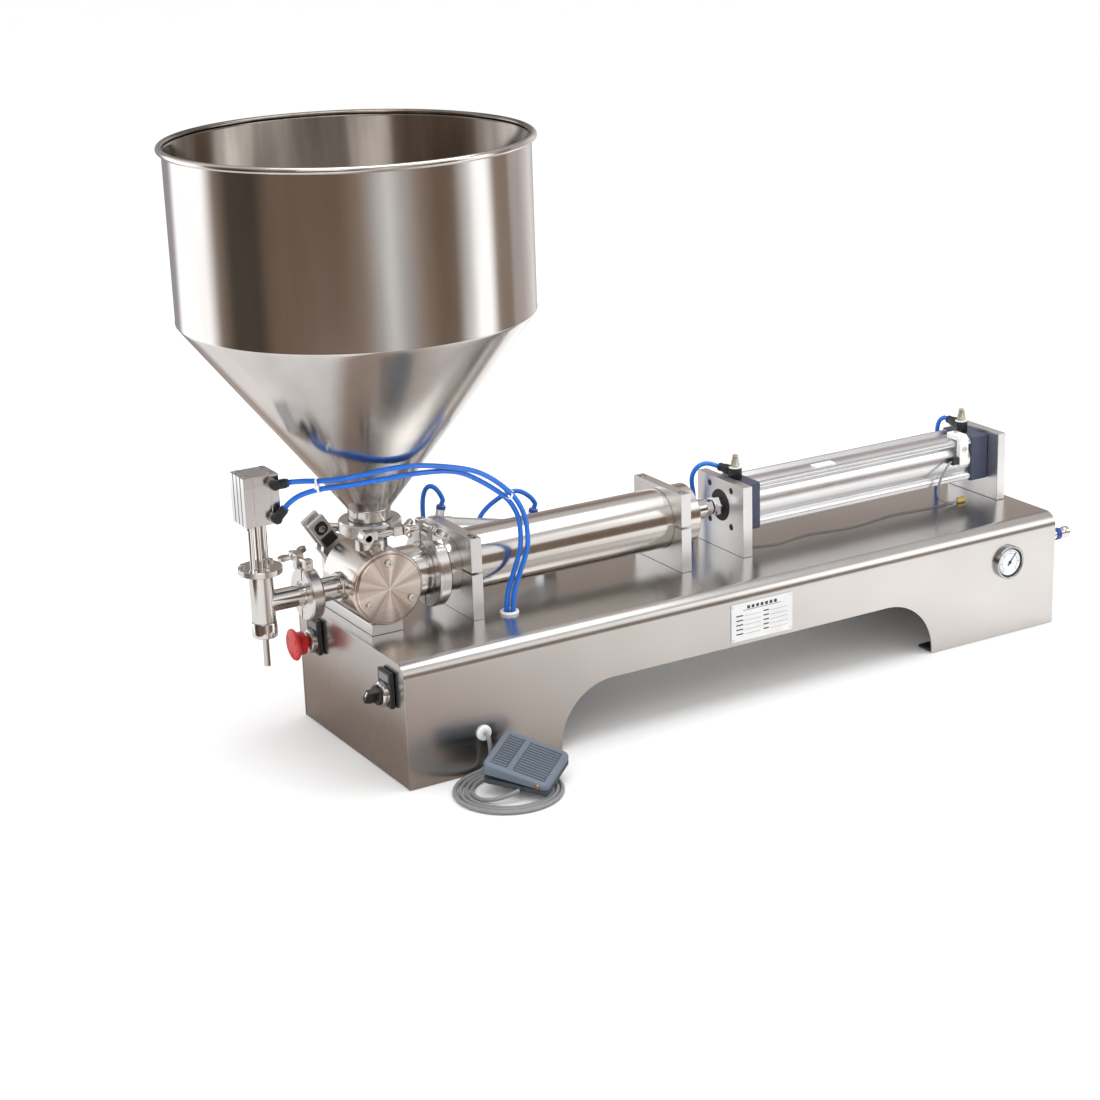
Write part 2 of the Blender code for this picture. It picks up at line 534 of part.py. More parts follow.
def outlet(mats, machine):
    steel = mats["polished"]
    face = OUTLET_CLAMP_X
    tube = [(0.014, -0.4876), (0.014, face + 0.0002 + FERRULE_T), (FERRULE_S, face + 0.0002 + FERRULE_T),
            (FERRULE_S, face + 0.0002), (0.0105, face + 0.0002), (0.0105, -0.4876)]
    turned("outlet_tube", tube, steel, machine, "X", (0, 0, AXIS_Z), 24)

    tee = solid("nozzle_tee", add_rod(bmesh.new(), TEE_R, TEE_BOTTOM, TEE_TOP, "Z", (NOZZLE_X, 0, 0), 20),
                steel, machine)
    branch = [(0, NOZZLE_X), (BRANCH_R, NOZZLE_X), (BRANCH_R, face - 0.0002 - FERRULE_T),
              (FERRULE_S, face - 0.0002 - FERRULE_T), (FERRULE_S, face - 0.0002), (0, face - 0.0002)]
    combine(tee, tool("tee_branch", add_turned(bmesh.new(), branch, "X", (0, 0, AXIS_Z), 24, 0.05), machine), "UNION")
    cut_rod(tee, TEE_BORE, TEE_BOTTOM - 0.01, TEE_TOP + 0.01, "Z", (NOZZLE_X, 0, 0), 16)
    cut_rod(tee, 0.0095, NOZZLE_X, face + 0.01, "X", (0, 0, AXIS_Z), 14)

    collar = TEE_BOTTOM - GAP
    tip = [(0.01435, collar), (0.0025, collar), (0.0025, NOZZLE_TIP_Z), (0.0036, NOZZLE_TIP_Z),
           (0.0036, 0.1675), (0.01435, 0.1675)]
    turned("nozzle_tip", tip, steel, machine, "Z", (NOZZLE_X, 0, 0), 20)

    low, high = FLANGE_Z
    disc = [(FLANGE_R, low), (FLANGE_R, high), (PLUNGER_R + GAP, high), (PLUNGER_R + GAP, low)]
    flange = turned("nozzle_flange", disc, mats["satin"], machine, "Z", (NOZZLE_X, 0, 0), 24)
    for x, y, radius in ((-0.0145, -0.0145, 0.0032), (0.0130, 0.0145, 0.0038)):
        join_rod(flange, radius, high - 0.002, NOZZLE_BLOCK_Z[0] - GAP, "Z", (NOZZLE_X + x, y, 0), 16)
    for angle in (150, 270, 30):
        x = NOZZLE_X + 0.0195 * math.cos(math.radians(angle))
        y = 0.0195 * math.sin(math.radians(angle))
        join_rod(flange, 0.0035, high - 0.002, high + 0.0035, "Z", (x, y, 0), 12)

    low, high = NOZZLE_BLOCK_Z
    block = box("nozzle_cylinder", (NOZZLE_X - 0.0205, -0.019, low), (NOZZLE_X + 0.0215, 0.019, high),
                mats["alu"], machine)
    soften(block, 0.002)
    for y in (-0.008, 0.004):
        cut_box(block, (NOZZLE_X - 0.03, y, low - 0.01), (NOZZLE_X - 0.0188, y + 0.003, high + 0.01))
    cut_rod(block, PLUNGER_R + GAP, low - 0.01, high - 0.012, "Z", (NOZZLE_X, 0, 0), 16)
    join_rod(block, 0.0055, -0.0265, -0.017, "Y", (NOZZLE_X + 0.013, 0, 0.3495), 16)
    join_rod(block, 0.0052, NOZZLE_X + 0.011, NOZZLE_X + 0.028, "X", (0, -0.0265, 0.3495), 16)
    join_rod(block, 0.0055, -0.0265, -0.017, "Y", (NOZZLE_X + 0.013, 0, 0.3105), 16)
    lower = add_rod(bmesh.new(), 0.0052, -0.004, 0.015, "X", (0, 0, 0), 16)
    combine(block, tool("nozzle_elbow", lower, machine, (NOZZLE_X + 0.013, -0.0265, 0.3105),
                        (0, math.radians(-45), 0)), "UNION")

    rod = [(0, 0.1866), (0.0085, 0.1866), (0.0092, 0.190), (0.0092, 0.199), (PLUNGER_R, 0.204),
           (PLUNGER_R, 0.328), (0, 0.328)]
    turned("nozzle_plunger", rod, mats["satin"], machine, "Z", (0, 0, 0), 20, (NOZZLE_X, 0, 0))


# ---------------------------------------------------------------- product cylinder

def split_plate(name, x_range, half, low, high, bore, mat, machine):
    plate = box(name, (x_range[0], -half, low), (x_range[1], half, high), mat, machine)
    cut_rod(plate, bore, x_range[0] - 0.01, x_range[1] + 0.01, "X", (0, 0, AXIS_Z), 40)
    return plate


def product_side(mats, machine):
    steel = mats["satin"]
    face = PRODUCT_CLAMP_X + 0.0002
    neck_in = TUBE_FROM + 0.004
    profile = [(FERRULE_L, face), (FERRULE_L, face + FERRULE_T), (0.032, face + FERRULE_T),
               (0.032, TUBE_FROM), (TUBE_R, TUBE_FROM), (TUBE_R, TUBE_TO), (TUBE_BORE, TUBE_TO),
               (TUBE_BORE, neck_in), (0.029, neck_in), (0.029, face)]
    turned("product_cylinder", profile, steel, machine, "X", (0, 0, AXIS_Z), 40)

    split = 0.0015
    for name, x_range, bore in (("support_a", SUPPORT_A, 0.0324), ("support_b", SUPPORT_B, 0.0380)):
        split_plate(f"{name}_lower", x_range, SUPPORT_HALF, BOX_H + GAP, AXIS_Z - split, bore,
                    mats["alu"], machine)
        split_plate(f"{name}_upper", x_range, SUPPORT_HALF, AXIS_Z + split, SUPPORT_TOP, bore,
                    mats["alu"], machine)

    # Piston and its rod, which ends in the coupling
    piston = [(0, -0.044), (0.0330, -0.044), (TUBE_BORE - GAP, -0.041), (TUBE_BORE - GAP, -0.013),
              (0.0125, -0.013), (0.0125, 0.0176), (0.0093, 0.0176), (0.0093, 0.0283),
              (0, 0.0283)]
    turned("product_piston", piston, mats["white"], machine, "X", (0, 0, 0), 28, (0, 0, AXIS_Z))


# ---------------------------------------------------------------- drive cylinder

def barrel_outline(sides):
    """Round tube with a half-round ridge over each of its four tie rods, in (y, z)."""
    reach = math.hypot(RIDGE_AT, RIDGE_AT)
    outline = []
    for k in range(sides):
        angle = 2 * math.pi * k / sides
        from_ridge = (angle % (math.pi / 2)) - math.pi / 4
        radius = BARREL_R
        across = reach * math.sin(from_ridge)
        if abs(across) < RIDGE_R:
            radius = max(radius, reach * math.cos(from_ridge) + math.sqrt(RIDGE_R ** 2 - across ** 2))
        outline.append((radius * math.cos(angle), AXIS_Z + radius * math.sin(angle)))
    return outline


def drive_side(mats, machine):
    low, high = AXIS_Z - CAP_HALF, AXIS_Z + CAP_HALF
    for name, x_range in (("mount_front", MOUNT_F), ("mount_rear", MOUNT_R)):
        plate = box(name, (x_range[0], -MOUNT_HALF, BOX_H + GAP), (x_range[1], MOUNT_HALF, MOUNT_TOP),
                    mats["alu"], machine)
        if name == "mount_front":
            cut_rod(plate, 0.0190, x_range[0] - 0.01, x_range[1] + 0.01, "X", (0, 0, AXIS_Z), 32)
            for y in (-0.0235, 0.0235):
                for z in (-0.0235, 0.0235):
                    cut_rod(plate, 0.0042, x_range[0] - 0.01, x_range[0] + 0.006, "X",
                            (0, y, AXIS_Z + z), 14)

    cap = box("cap_front", (CAP_F[0], -CAP_HALF, low), (CAP_F[1], CAP_HALF, high),
              mats["navy"], machine, 0.0012)
    join_rod(cap, 0.0187, MOUNT_F[0] + 0.001, CAP_F[0] + 0.004, "X", (0, 0, AXIS_Z), 32)
    cut_rod(cap, ROD_R + GAP, 0.03, 0.10, "X", (0, 0, AXIS_Z), 24)
    box("cap_rear", (CAP_R[0], -CAP_HALF, low), (CAP_R[1], CAP_HALF, high), mats["navy"], machine, 0.0012)

    start, stop = CAP_F[1] + GAP, CAP_R[0] - GAP
    barrel = solid("cylinder_barrel", add_prism(bmesh.new(), barrel_outline(72), "X", start, stop),
                   mats["alu"], machine)
    cut_rod(barrel, BARREL_BORE, start - 0.01, stop + 0.01, "X", (0, 0, AXIS_Z), 32)

    rod = [(0, 0.0286), (0.0112, 0.0286), (0.0112, 0.0396), (ROD_R, 0.0396), (ROD_R, 0.398),
           (BARREL_BORE - GAP, 0.398), (BARREL_BORE - GAP, 0.419), (0, 0.419)]
    turned("drive_rod", rod, mats["polished"], machine, "X", (0, 0, 0), 20, (0, 0, AXIS_Z))


def flow_controls(mats, machine):
    """Banjo flow regulators on the two end caps, each with an elbow and a screw knob."""
    top = AXIS_Z + CAP_HALF + GAP
    for name, x in FLOW_X.items():
        profile = [(0, top), (0.0085, top), (0.0085, top + 0.0145), (0.0055, top + 0.0150),
                   (0.0055, top + 0.0235), (0.0022, top + 0.0235), (0.0022, top + 0.0255), (0, top + 0.0255)]
        body = turned(f"flow_{name}", profile, mats["black"], machine, "Z", (x, 0, 0), 20)
        elbow = add_rod(bmesh.new(), 0.0058, 0, FLOW_REACH, "X", (0, 0, 0), 16)
        combine(body, tool(f"flow_elbow_{name}", elbow, machine, (x, 0, FLOW_Z),
                           (0, -FLOW_RISE, FLOW_LEAN[name])), "UNION")
        knob = [(0, 0.0066), (0.0038, 0.0066), (0.0045, 0.003), (0.0045, -0.0002), (0.0026, -0.0002),
                (0.0026, 0.0028), (0, 0.0028)]
        turned(f"flow_knob_{name}", knob, mats["brass"], machine, "Z", (0, 0, 0), 16,
               (x, 0, top + 0.0240))


def flow_mouth(name):
    """Mouth of a flow control's elbow, and a point past it."""
    turn = Euler((0, -FLOW_RISE, FLOW_LEAN[name])).to_matrix()
    start = Vector((FLOW_X[name], 0, FLOW_Z))
    return [start + turn @ Vector((reach, 0, 0)) for reach in (FLOW_REACH + GAP, FLOW_REACH + 0.006)]


def sensor(mats, machine):
    """Reed switch strapped over the barrel's upper front ridge, next to the rear cap."""
    outline = [(-0.0380, 0.204), (-0.0302, 0.204), (-0.0302, 0.2366), (-0.0100, 0.2366),
               (-0.0100, 0.2440), (-0.0380, 0.2440)]
    strap = solid("position_sensor", add_prism(bmesh.new(), outline, "X", 0.397, 0.411),
                  mats["white"], machine)
    join_box(strap, (0.386, -0.0370, 0.206), (0.399, -0.0304, 0.2155))


# ---------------------------------------------------------------- hoses

def hoses(mats, machine):
    blue = mats["blue"]
    down = BOX_H - 0.008
    hose("hose_nozzle_upper", [
        (-0.5507, -0.0265, 0.3495), (-0.5450, -0.0265, 0.3495), (-0.533, -0.035, 0.3505),
        (-0.517, -0.056, 0.3530),
        (-0.492, -0.077, 0.3585), (-0.4388, -0.0850, 0.3620), (-0.386, -0.078, 0.3518),
        (-0.331, -0.068, 0.3318), (-0.289, -0.062, 0.2986), (-0.2714, -0.060, 0.2693),
        (-0.267, -0.058, 0.2466), (-0.267, -0.057, 0.2262), (-0.279, -0.056, 0.1950),
        (-0.2870, -0.0555, 0.1720), (-0.2890, -0.0555, down)], HOSE_R, blue, machine)
    hose("hose_nozzle_lower", [
        (-0.5552, -0.0265, 0.3213), (-0.5513, -0.0265, 0.3252), (-0.541, -0.0330, 0.3345),
        (-0.522, -0.050, 0.3430), (-0.4985, -0.068, 0.3470), (-0.4625, -0.0820, 0.3510),
        (-0.4125, -0.0790, 0.3490), (-0.3656, -0.0665, 0.3395), (-0.333, -0.0600, 0.3235),
        (-0.2935, -0.0565, 0.2935),
        (-0.277, -0.055, 0.2675), (-0.2735, -0.053, 0.2460), (-0.2735, -0.0515, 0.2260),
        (-0.284, -0.0500, 0.1950), (-0.2925, -0.0500, 0.1720), (-0.2950, -0.0500, down)],
        HOSE_R, blue, machine)
    hose("hose_cylinder_front", [
        *flow_mouth("front"), (0.0464, 0.0330, 0.2540), (0.0377, 0.0370, 0.2515),
        (0.0305, 0.0400, 0.2441), (0.0294, 0.0440, 0.2315), (0.0330, 0.0450, 0.2150),
        (0.0350, 0.0460, 0.1900), (*CYL_HOSE_F, 0.170), (*CYL_HOSE_F, down)], HOSE_R, blue, machine)
    hose("hose_cylinder_rear", [
        *flow_mouth("rear"), (0.4228, 0.0370, 0.2475), (0.4222, 0.0405, 0.2350),
        (0.4222, 0.0410, 0.2120), (0.4230, 0.0410, 0.1850), (*CYL_HOSE_R, 0.165),
        (*CYL_HOSE_R, down)], HOSE_R, blue, machine)
    (left, above_left), (right, above_right) = actuator_ports()
    hose("hose_actuator_left", [
        left, above_left, (-0.3190, 0.0800, 0.2800),
        (-0.3245, 0.0880, 0.2710), (-0.3240, 0.0955, 0.2515), (-0.3225, 0.0983, 0.2300),
        (*ACT_HOSE_L, 0.190), (*ACT_HOSE_L, down)], HOSE_R, blue, machine)
    hose("hose_actuator_right", [
        right, above_right, (-0.1960, 0.0770, 0.2487),
        (-0.2060, 0.0790, 0.2520), (-0.2193, 0.0830, 0.2475), (-0.2413, 0.0925, 0.2300),
        (-0.2515, 0.0980, 0.2080), (*ACT_HOSE_R, 0.185), (*ACT_HOSE_R, down)], HOSE_R, blue, machine)


def actuator_ports():
    """Mouth of each of the actuator's two hose fittings, and a point above it."""
    frame = Matrix.Translation(lever_pin()) @ Matrix.Rotation(-ACTUATOR_TILT, 4, "Y")
    heights = (0.031 + GAP, 0.041)
    return [[frame @ Vector((s, 0, z)) for z in heights] for s in (0.1605, 0.2905)]


def grommets(mats, machine):
    top = BOX_H + GAP
    ring = [(0.0112, top), (0.0112, top + 0.0018), (0.0096, top + 0.0030), (0.0077, top + 0.0030),
            (0.0077, top)]
    turned("hose_grommet", ring, mats["white"], machine, "Z", (*HOSE_GROMMET, 0), 20)
    face = FRONT - GAP
    eye = [(0, face), (GROMMET_R, face), (GROMMET_R, face - 0.0015), (0.0070, face - GROMMET_T),
           (0, face - GROMMET_T)]
    turned("cable_grommet", eye, mats["white"], machine, "Y", (GROMMET_X, 0, GROMMET_Z), 18)


# ---------------------------------------------------------------- controls

def switch_base(name, y, z, mats, machine):
    """Square legend plate, chrome ring and the barrel behind the panel."""
    outer = LEFT - GAP
    low = z - 0.0155
    plate = box(name, (outer - PLATE_T, y - PLATE_W / 2, low), (outer, y + PLATE_W / 2, low + PLATE_H),
                mats["black"], machine)
    soften(plate, 0.0015)
    join_rod(plate, 0.0145, outer - 0.0135, outer - 0.003, "X", (0, y, z), 24)
    join_rod(plate, 0.0105, outer - 0.002, outer + 0.030, "X", (0, y, z), 16)
    cut_rod(plate, 0.0060, outer - 0.03, outer + 0.022, "X", (0, y, z), 16)
    return plate


def controls(mats, machine):
    switch_base("estop_base", ESTOP_Y, ESTOP_Z, mats, machine)
    head = [(0, LEFT - 0.0345), (0.0165, LEFT - 0.0345), (0.0195, LEFT - 0.0325), (0.0195, LEFT - 0.0305),
            (0.0140, LEFT - 0.0270), (0.0140, LEFT - 0.0190), (0.0056, LEFT - 0.0190),
            (0.0056, LEFT + 0.012), (0, LEFT + 0.012)]
    turned("estop_head", head, mats["red"], machine, "X", (0, 0, 0), 24, (0, ESTOP_Y, ESTOP_Z))

    switch_base("selector_base", SELECTOR_Y, SELECTOR_Z, mats, machine)
    at = (0, SELECTOR_Y, SELECTOR_Z)
    disc = [(0, LEFT - 0.0175), (0.0115, LEFT - 0.0175), (0.0120, LEFT - 0.0145), (0.0056, LEFT - 0.0145),
            (0.0056, LEFT + 0.012), (0, LEFT + 0.012)]
    knob = turned("selector_knob", disc, mats["black"], machine, "X", (0, 0, 0), 20, at)
    fin = [(LEFT - 0.016, -0.0115), (LEFT - 0.0235, -0.0115), (LEFT - 0.0310, -0.0070),
           (LEFT - 0.0310, 0.0120), (LEFT - 0.016, 0.0120)]
    grip = tool("selector_fin", add_prism(bmesh.new(), fin, "Y", -0.0034, 0.0034), machine, at,
                (math.radians(40), 0, 0))
    combine(knob, grip, "UNION")

    # Pressure gauge: bezel proud of the panel, body through it, needle on its axis
    face = FRONT - GAP
    gauge = [(0, FRONT + 0.030), (0.0193, FRONT + 0.030), (0.0193, face), (GAUGE_R, face),
             (GAUGE_R, face - 0.0050), (0.0210, face - 0.0066), (0.0190, face - 0.0066),
             (0.0190, face - 0.0025), (0, face - 0.0025)]
    turned("gauge_body", gauge, mats["chrome"], machine, "Y", (GAUGE_X, 0, GAUGE_Z), 28)
    hub = add_rod(bmesh.new(), 0.0022, face - 0.0048, face - 0.0028, "Y", (0, 0, 0), 16)
    needle = solid("gauge_needle", hub, mats["black"], machine, (GAUGE_X, 0, GAUGE_Z))
    blade = [(-0.0007, -0.005), (0.0007, -0.005), (0.0003, 0.0148), (-0.0003, 0.0148)]
    pointer = tool("needle_blade", add_prism(bmesh.new(), blade, "Y", face - 0.0042, face - 0.0036),
                   machine, (GAUGE_X, 0, GAUGE_Z), (0, math.radians(40), 0))
    combine(needle, pointer, "UNION")

    inlet = [(0, RIGHT + 0.0003 - 0.004), (0.0056, RIGHT - 0.0037), (0.0056, RIGHT + GAP),
             (0.0080, RIGHT + GAP), (0.0080, RIGHT + 0.014), (0.0066, RIGHT + 0.015),
             (0.0066, RIGHT + INLET_REACH - 0.008), (0.0078, RIGHT + INLET_REACH - 0.007),
             (0.0078, RIGHT + INLET_REACH), (0.0042, RIGHT + INLET_REACH),
             (0.0042, RIGHT + 0.020), (0, RIGHT + 0.020)]
    turned("air_inlet", inlet, mats["satin"], machine, "X", (0, INLET_Y, INLET_Z), 16)
    box("nameplate", (-0.0362, FRONT - GAP - 0.0008, 0.082), (0.0540, FRONT - GAP, 0.130),
        mats["white"], machine)


# ---------------------------------------------------------------- foot pedal and its cable

def pedal_frame():
    return Matrix.Translation(PEDAL_AT) @ Euler(PEDAL_TURN).to_matrix().to_4x4()


def pedal(mats, machine):
    base = solid("pedal_base", add_box(bmesh.new(), (0, 0, 0), (PEDAL_U, PEDAL_V, PEDAL_BASE_T)),
                 mats["slate"], machine, PEDAL_AT, PEDAL_TURN)
    gland = add_rod(bmesh.new(), 0.0034, -PEDAL_GLAND_L, 0.004, "Y", (PEDAL_GLAND_U, 0, PEDAL_GLAND_Z), 16)
    post_low = add_box(bmesh.new(), (PEDAL_U - 0.012, 0.012, 0.004), (PEDAL_U - 0.004, PEDAL_V - 0.012, 0.0100))
    for name, bm in (("pedal_gland", gland), ("pedal_hinge_block", post_low)):
        combine(base, tool(name, bm, machine, PEDAL_AT, PEDAL_TURN), "UNION")

    # Cover: a wedge shell on a hinge line near its low end
    hinge = (PEDAL_U - 0.008, 0.0095)
    low_gap, high_gap = 0.0072, 0.0128
    outer = [(-0.0008 - hinge[0], high_gap - hinge[1]), (PEDAL_U - hinge[0], low_gap - hinge[1]),
             (PEDAL_U - hinge[0], PEDAL_LOW - hinge[1]), (-0.0008 - hinge[0], PEDAL_HIGH - hinge[1])]
    at = pedal_frame() @ Vector((hinge[0], 0, hinge[1]))
    cover = solid("pedal_cover", add_prism(bmesh.new(), outer, "Y", -0.0008, PEDAL_V + 0.0008),
                  mats["slate"], machine, at, PEDAL_TURN)
    inner = [(0.0020 - hinge[0], -0.02), (PEDAL_U - 0.0028 - hinge[0], -0.02),
             (PEDAL_U - 0.0028 - hinge[0], PEDAL_LOW - 0.0024 - hinge[1]),
             (0.0020 - hinge[0], PEDAL_HIGH - 0.0024 - hinge[1])]
    hollow = tool("pedal_hollow", add_prism(bmesh.new(), inner, "Y", 0.0020, PEDAL_V - 0.0020),
                  machine, at, PEDAL_TURN)
    combine(cover, hollow)


def beside_pedal(u, v, height):
    """A point at a height over the floor, u and v along the pedal's sides seen from above."""
    along = Vector((math.cos(PEDAL_TURN[2]), math.sin(PEDAL_TURN[2])))
    across = Vector((-along.y, along.x))
    x, y = Vector(PEDAL_AT[:2]) + u * along + v * across
    return Vector((x, y, height))


def cable(mats, machine):
    """Down from the grommet to the coil on the floor, and from inside the coil to the pedal."""
    grey = mats["cable"]
    hose("pedal_lead", [
        (GROMMET_X, FRONT - GROMMET_T - 2 * GAP, GROMMET_Z), (GROMMET_X, FRONT - 0.0080, GROMMET_Z),
        (-0.3786, -0.1504, 0.0430), (-0.3782, -0.1518, 0.0330), (-0.3783, -0.1512, 0.0210),
        (-0.3788, -0.1492, 0.0120), (-0.3790, -0.1485, COIL_H + 2 * GAP)], CABLE_R, grey, machine,
        2, 0.008)
    cx, cy = COIL_AT
    ring = [(COIL_IN, 0.0002), (COIL_OUT, 0.0002), (COIL_OUT, COIL_H), (COIL_IN, COIL_H)]
    turned("pedal_coil", ring, grey, machine, "Z", (cx, cy, 0), 32)
    frame = pedal_frame()
    mouth = frame @ Vector((PEDAL_GLAND_U, -PEDAL_GLAND_L - GAP, PEDAL_GLAND_Z))
    forward = frame.to_3x3() @ Vector((0, -1, 0))
    hose("pedal_tail", [mouth, mouth + 0.003 * forward, beside_pedal(0.0375, -0.0132, 0.0100),
                        beside_pedal(0.0275, -0.0178, 0.0070), beside_pedal(0.0180, -0.0200, 0.0045),
                        beside_pedal(0.0095, -0.0200, 0.0031)],
         CABLE_R, grey, machine, 2, 0.006)


# ---------------------------------------------------------------- assembly

def build():
    for obj in list(bpy.data.objects):
        bpy.data.objects.remove(obj, do_unlink=True)
    mats = {
        "brushed": material("brushed_stainless", (0.62, 0.60, 0.58), 1.0, 0.32),
        "polished": material("polished_stainless", (0.72, 0.70, 0.67), 1.0, 0.14),
        "satin": material("satin_stainless", (0.66, 0.64, 0.61), 1.0, 0.24),
        "alu": material("satin_aluminium", (0.80, 0.80, 0.81), 0.9, 0.36),
        "navy": material("navy_paint", (0.045, 0.055, 0.095), 0.1, 0.42),
        "black": material("black_plastic", (0.015, 0.015, 0.017), 0.0, 0.38),
        "white": material("white_nylon", (0.86, 0.86, 0.84), 0.0, 0.45),
        "brass": material("nickel_brass", (0.66, 0.60, 0.45), 1.0, 0.28),
        "chrome": material("chrome", (0.78, 0.78, 0.79), 1.0, 0.10),
        "red": material("red_plastic", (0.70, 0.03, 0.03), 0.0, 0.35),
        "blue": material("blue_hose", (0.02, 0.22, 0.75), 0.0, 0.30),
        "slate": material("slate_paint", (0.16, 0.19, 0.23), 0.1, 0.45),
        "cable": material("grey_cable", (0.50, 0.51, 0.52), 0.0, 0.50),
    }
    machine = bpy.data.objects.new("machine", None)
    bpy.context.scene.collection.objects.link(machine)
    machine.location = MACHINE_AT
    sections = (bench, hopper, clamps, valve, lever, actuator, outlet, product_side, drive_side,
                flow_controls, sensor, hoses, grommets, controls, pedal, cable)
    for section in sections:
        section(mats, machine)


build()
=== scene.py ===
"""Looks of the piston filling machine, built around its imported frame.

Sizes are in metres.  The machine's own frame has its origin in the middle of the bench box, on the
floor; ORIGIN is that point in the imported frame, and every piece is placed from it.
"""

import math

import bmesh
import bpy
from mathutils import Euler, Matrix, Vector


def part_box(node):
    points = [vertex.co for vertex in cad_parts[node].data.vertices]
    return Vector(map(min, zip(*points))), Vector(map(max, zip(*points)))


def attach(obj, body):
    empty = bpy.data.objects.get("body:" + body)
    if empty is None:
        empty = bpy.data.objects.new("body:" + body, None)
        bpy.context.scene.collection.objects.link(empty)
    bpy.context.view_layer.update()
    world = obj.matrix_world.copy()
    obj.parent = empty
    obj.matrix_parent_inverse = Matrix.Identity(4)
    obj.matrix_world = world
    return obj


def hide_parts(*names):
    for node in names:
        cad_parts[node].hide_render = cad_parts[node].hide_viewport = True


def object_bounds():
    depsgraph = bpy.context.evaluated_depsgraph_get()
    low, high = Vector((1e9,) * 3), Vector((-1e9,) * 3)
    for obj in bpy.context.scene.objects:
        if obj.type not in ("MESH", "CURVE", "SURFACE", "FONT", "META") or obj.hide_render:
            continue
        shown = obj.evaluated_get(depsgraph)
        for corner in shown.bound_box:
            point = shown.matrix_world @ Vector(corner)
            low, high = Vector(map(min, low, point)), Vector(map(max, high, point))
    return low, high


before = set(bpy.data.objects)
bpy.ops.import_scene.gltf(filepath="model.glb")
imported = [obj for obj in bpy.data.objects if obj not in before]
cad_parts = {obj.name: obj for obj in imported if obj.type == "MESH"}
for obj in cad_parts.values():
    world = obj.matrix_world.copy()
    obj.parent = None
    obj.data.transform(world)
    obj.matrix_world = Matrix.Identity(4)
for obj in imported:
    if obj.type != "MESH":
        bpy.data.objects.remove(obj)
cad_low, cad_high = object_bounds()

shell_low, shell_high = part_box("base_shell")
ORIGIN = Vector(((shell_low.x + shell_high.x) / 2, (shell_low.y + shell_high.y) / 2, 0.0))
MACHINE = "machine"

# ---------------------------------------------------------------- sizes shared with the frame
BOX_L, BOX_W, BOX_H, BOX_BEND, SHEET = 0.953, 0.2766, 0.150, 0.018, 0.002
ARCH_FROM, ARCH_TO, ARCH_H, ARCH_R = -0.276, 0.274, 0.0765, 0.072
FRONT, LEFT, RIGHT = -BOX_W / 2, -BOX_L / 2, BOX_L / 2
AXIS_Z, VALVE_X, NOZZLE_X = 0.207, -0.4405, -0.579
HOPPER_R, RIM_R, RIM_BEAD, RIM_Z, WELD_Z, NECK_Z, NECK_R = 0.200, 0.206, 0.0037, 0.7118, 0.520, 0.296, 0.025
HOPPER_CLAMP_Z, OUTLET_CLAMP_X, PRODUCT_CLAMP_X = 0.274, -0.523, -0.368
FERRULE_S, FERRULE_L, FERRULE_T = 0.02525, 0.03875, 0.0055
TUBE_R, TUBE_BORE, TUBE_FROM, TUBE_TO = 0.0376, 0.0345, -0.3257, -0.0100
CAP_HALF, CAP_F, CAP_R = 0.030, (0.0573, 0.0840), (0.4225, 0.4506)
BARREL_R, RIDGE_R, RIDGE_AT, ROD_R = 0.0285, 0.0055, 0.02325, 0.010
TEE_BOTTOM, TEE_TOP, TIP_Z = 0.1853, 0.2430, 0.1314
GAUGE = (0.397, 0.0995)
GROMMET = (-0.379, 0.0482)
HOSE_GROMMET = (-0.292, -0.05275)
ESTOP, SELECTOR = (0.087, 0.114), (-0.100, 0.108)
HOSE_R, CABLE_R = 0.003, 0.0025
COIL_AT = (-0.3845, -0.205)
PEDAL_AT = (-0.4135, -0.1948, 0.0150)
PEDAL_TURN = (math.radians(8.7), math.radians(6.2), math.radians(-50.1))
PEDAL_U, PEDAL_V, PEDAL_HIGH, PEDAL_LOW = 0.0776, 0.0744, 0.0274, 0.0137
PEDAL_GLAND = (0.045, 0.0037, 0.004)
LEVER_Y, LEVER_R, LEVER_REST, LEVER_SLOT = 0.075, 0.060, math.radians(122.5), 0.032
ACTUATOR_TILT, ACTUATOR_PORTS = math.radians(12.5), (0.1605, 0.2905)
FLOW_X = {"front": 0.0665, "rear": 0.4292}
FLOW_LEAN = {"front": math.radians(116), "rear": math.radians(99)}
FLOW_Z, FLOW_REACH, FLOW_RISE = 0.2465, 0.0235, math.radians(8)
INLET = (0.4765, -0.112, 0.110)
PLATE_LOW, PLATE_HIGH = (-0.0362, 0.082), (0.0540, 0.130)
NOZZLE_BLOCK = (0.303, 0.360)
HOPPER_WALL, GAP, BOLT_R = 0.002, 0.0003, 0.0030


# ---------------------------------------------------------------- camera, floor and light
def camera():
    data = bpy.data.cameras.new("camera")
    data.sensor_width = 36.0
    data.lens = 78.73
    data.shift_x, data.shift_y = -0.0375, 0.0400
    data.clip_end = 50.0
    cam = bpy.data.objects.new("camera", data)
    bpy.context.scene.collection.objects.link(cam)
    azimuth, elevation, roll = math.radians(-30.88), math.radians(19.53), math.radians(-1.597)
    right = Vector((math.cos(azimuth), math.sin(azimuth), 0.0))
    back = Vector((math.sin(azimuth) * math.cos(elevation), -math.cos(azimuth) * math.cos(elevation),
                   math.sin(elevation)))
    up = back.cross(right)
    rolled_right = math.cos(roll) * right + math.sin(roll) * up
    rolled_up = math.cos(roll) * up - math.sin(roll) * right
    turn = Matrix((rolled_right, rolled_up, back)).transposed()
    cam.matrix_world = Matrix.Translation(ORIGIN + Vector((-1.5720, -2.3811, 1.1123))) @ turn.to_4x4()
    bpy.context.scene.camera = cam


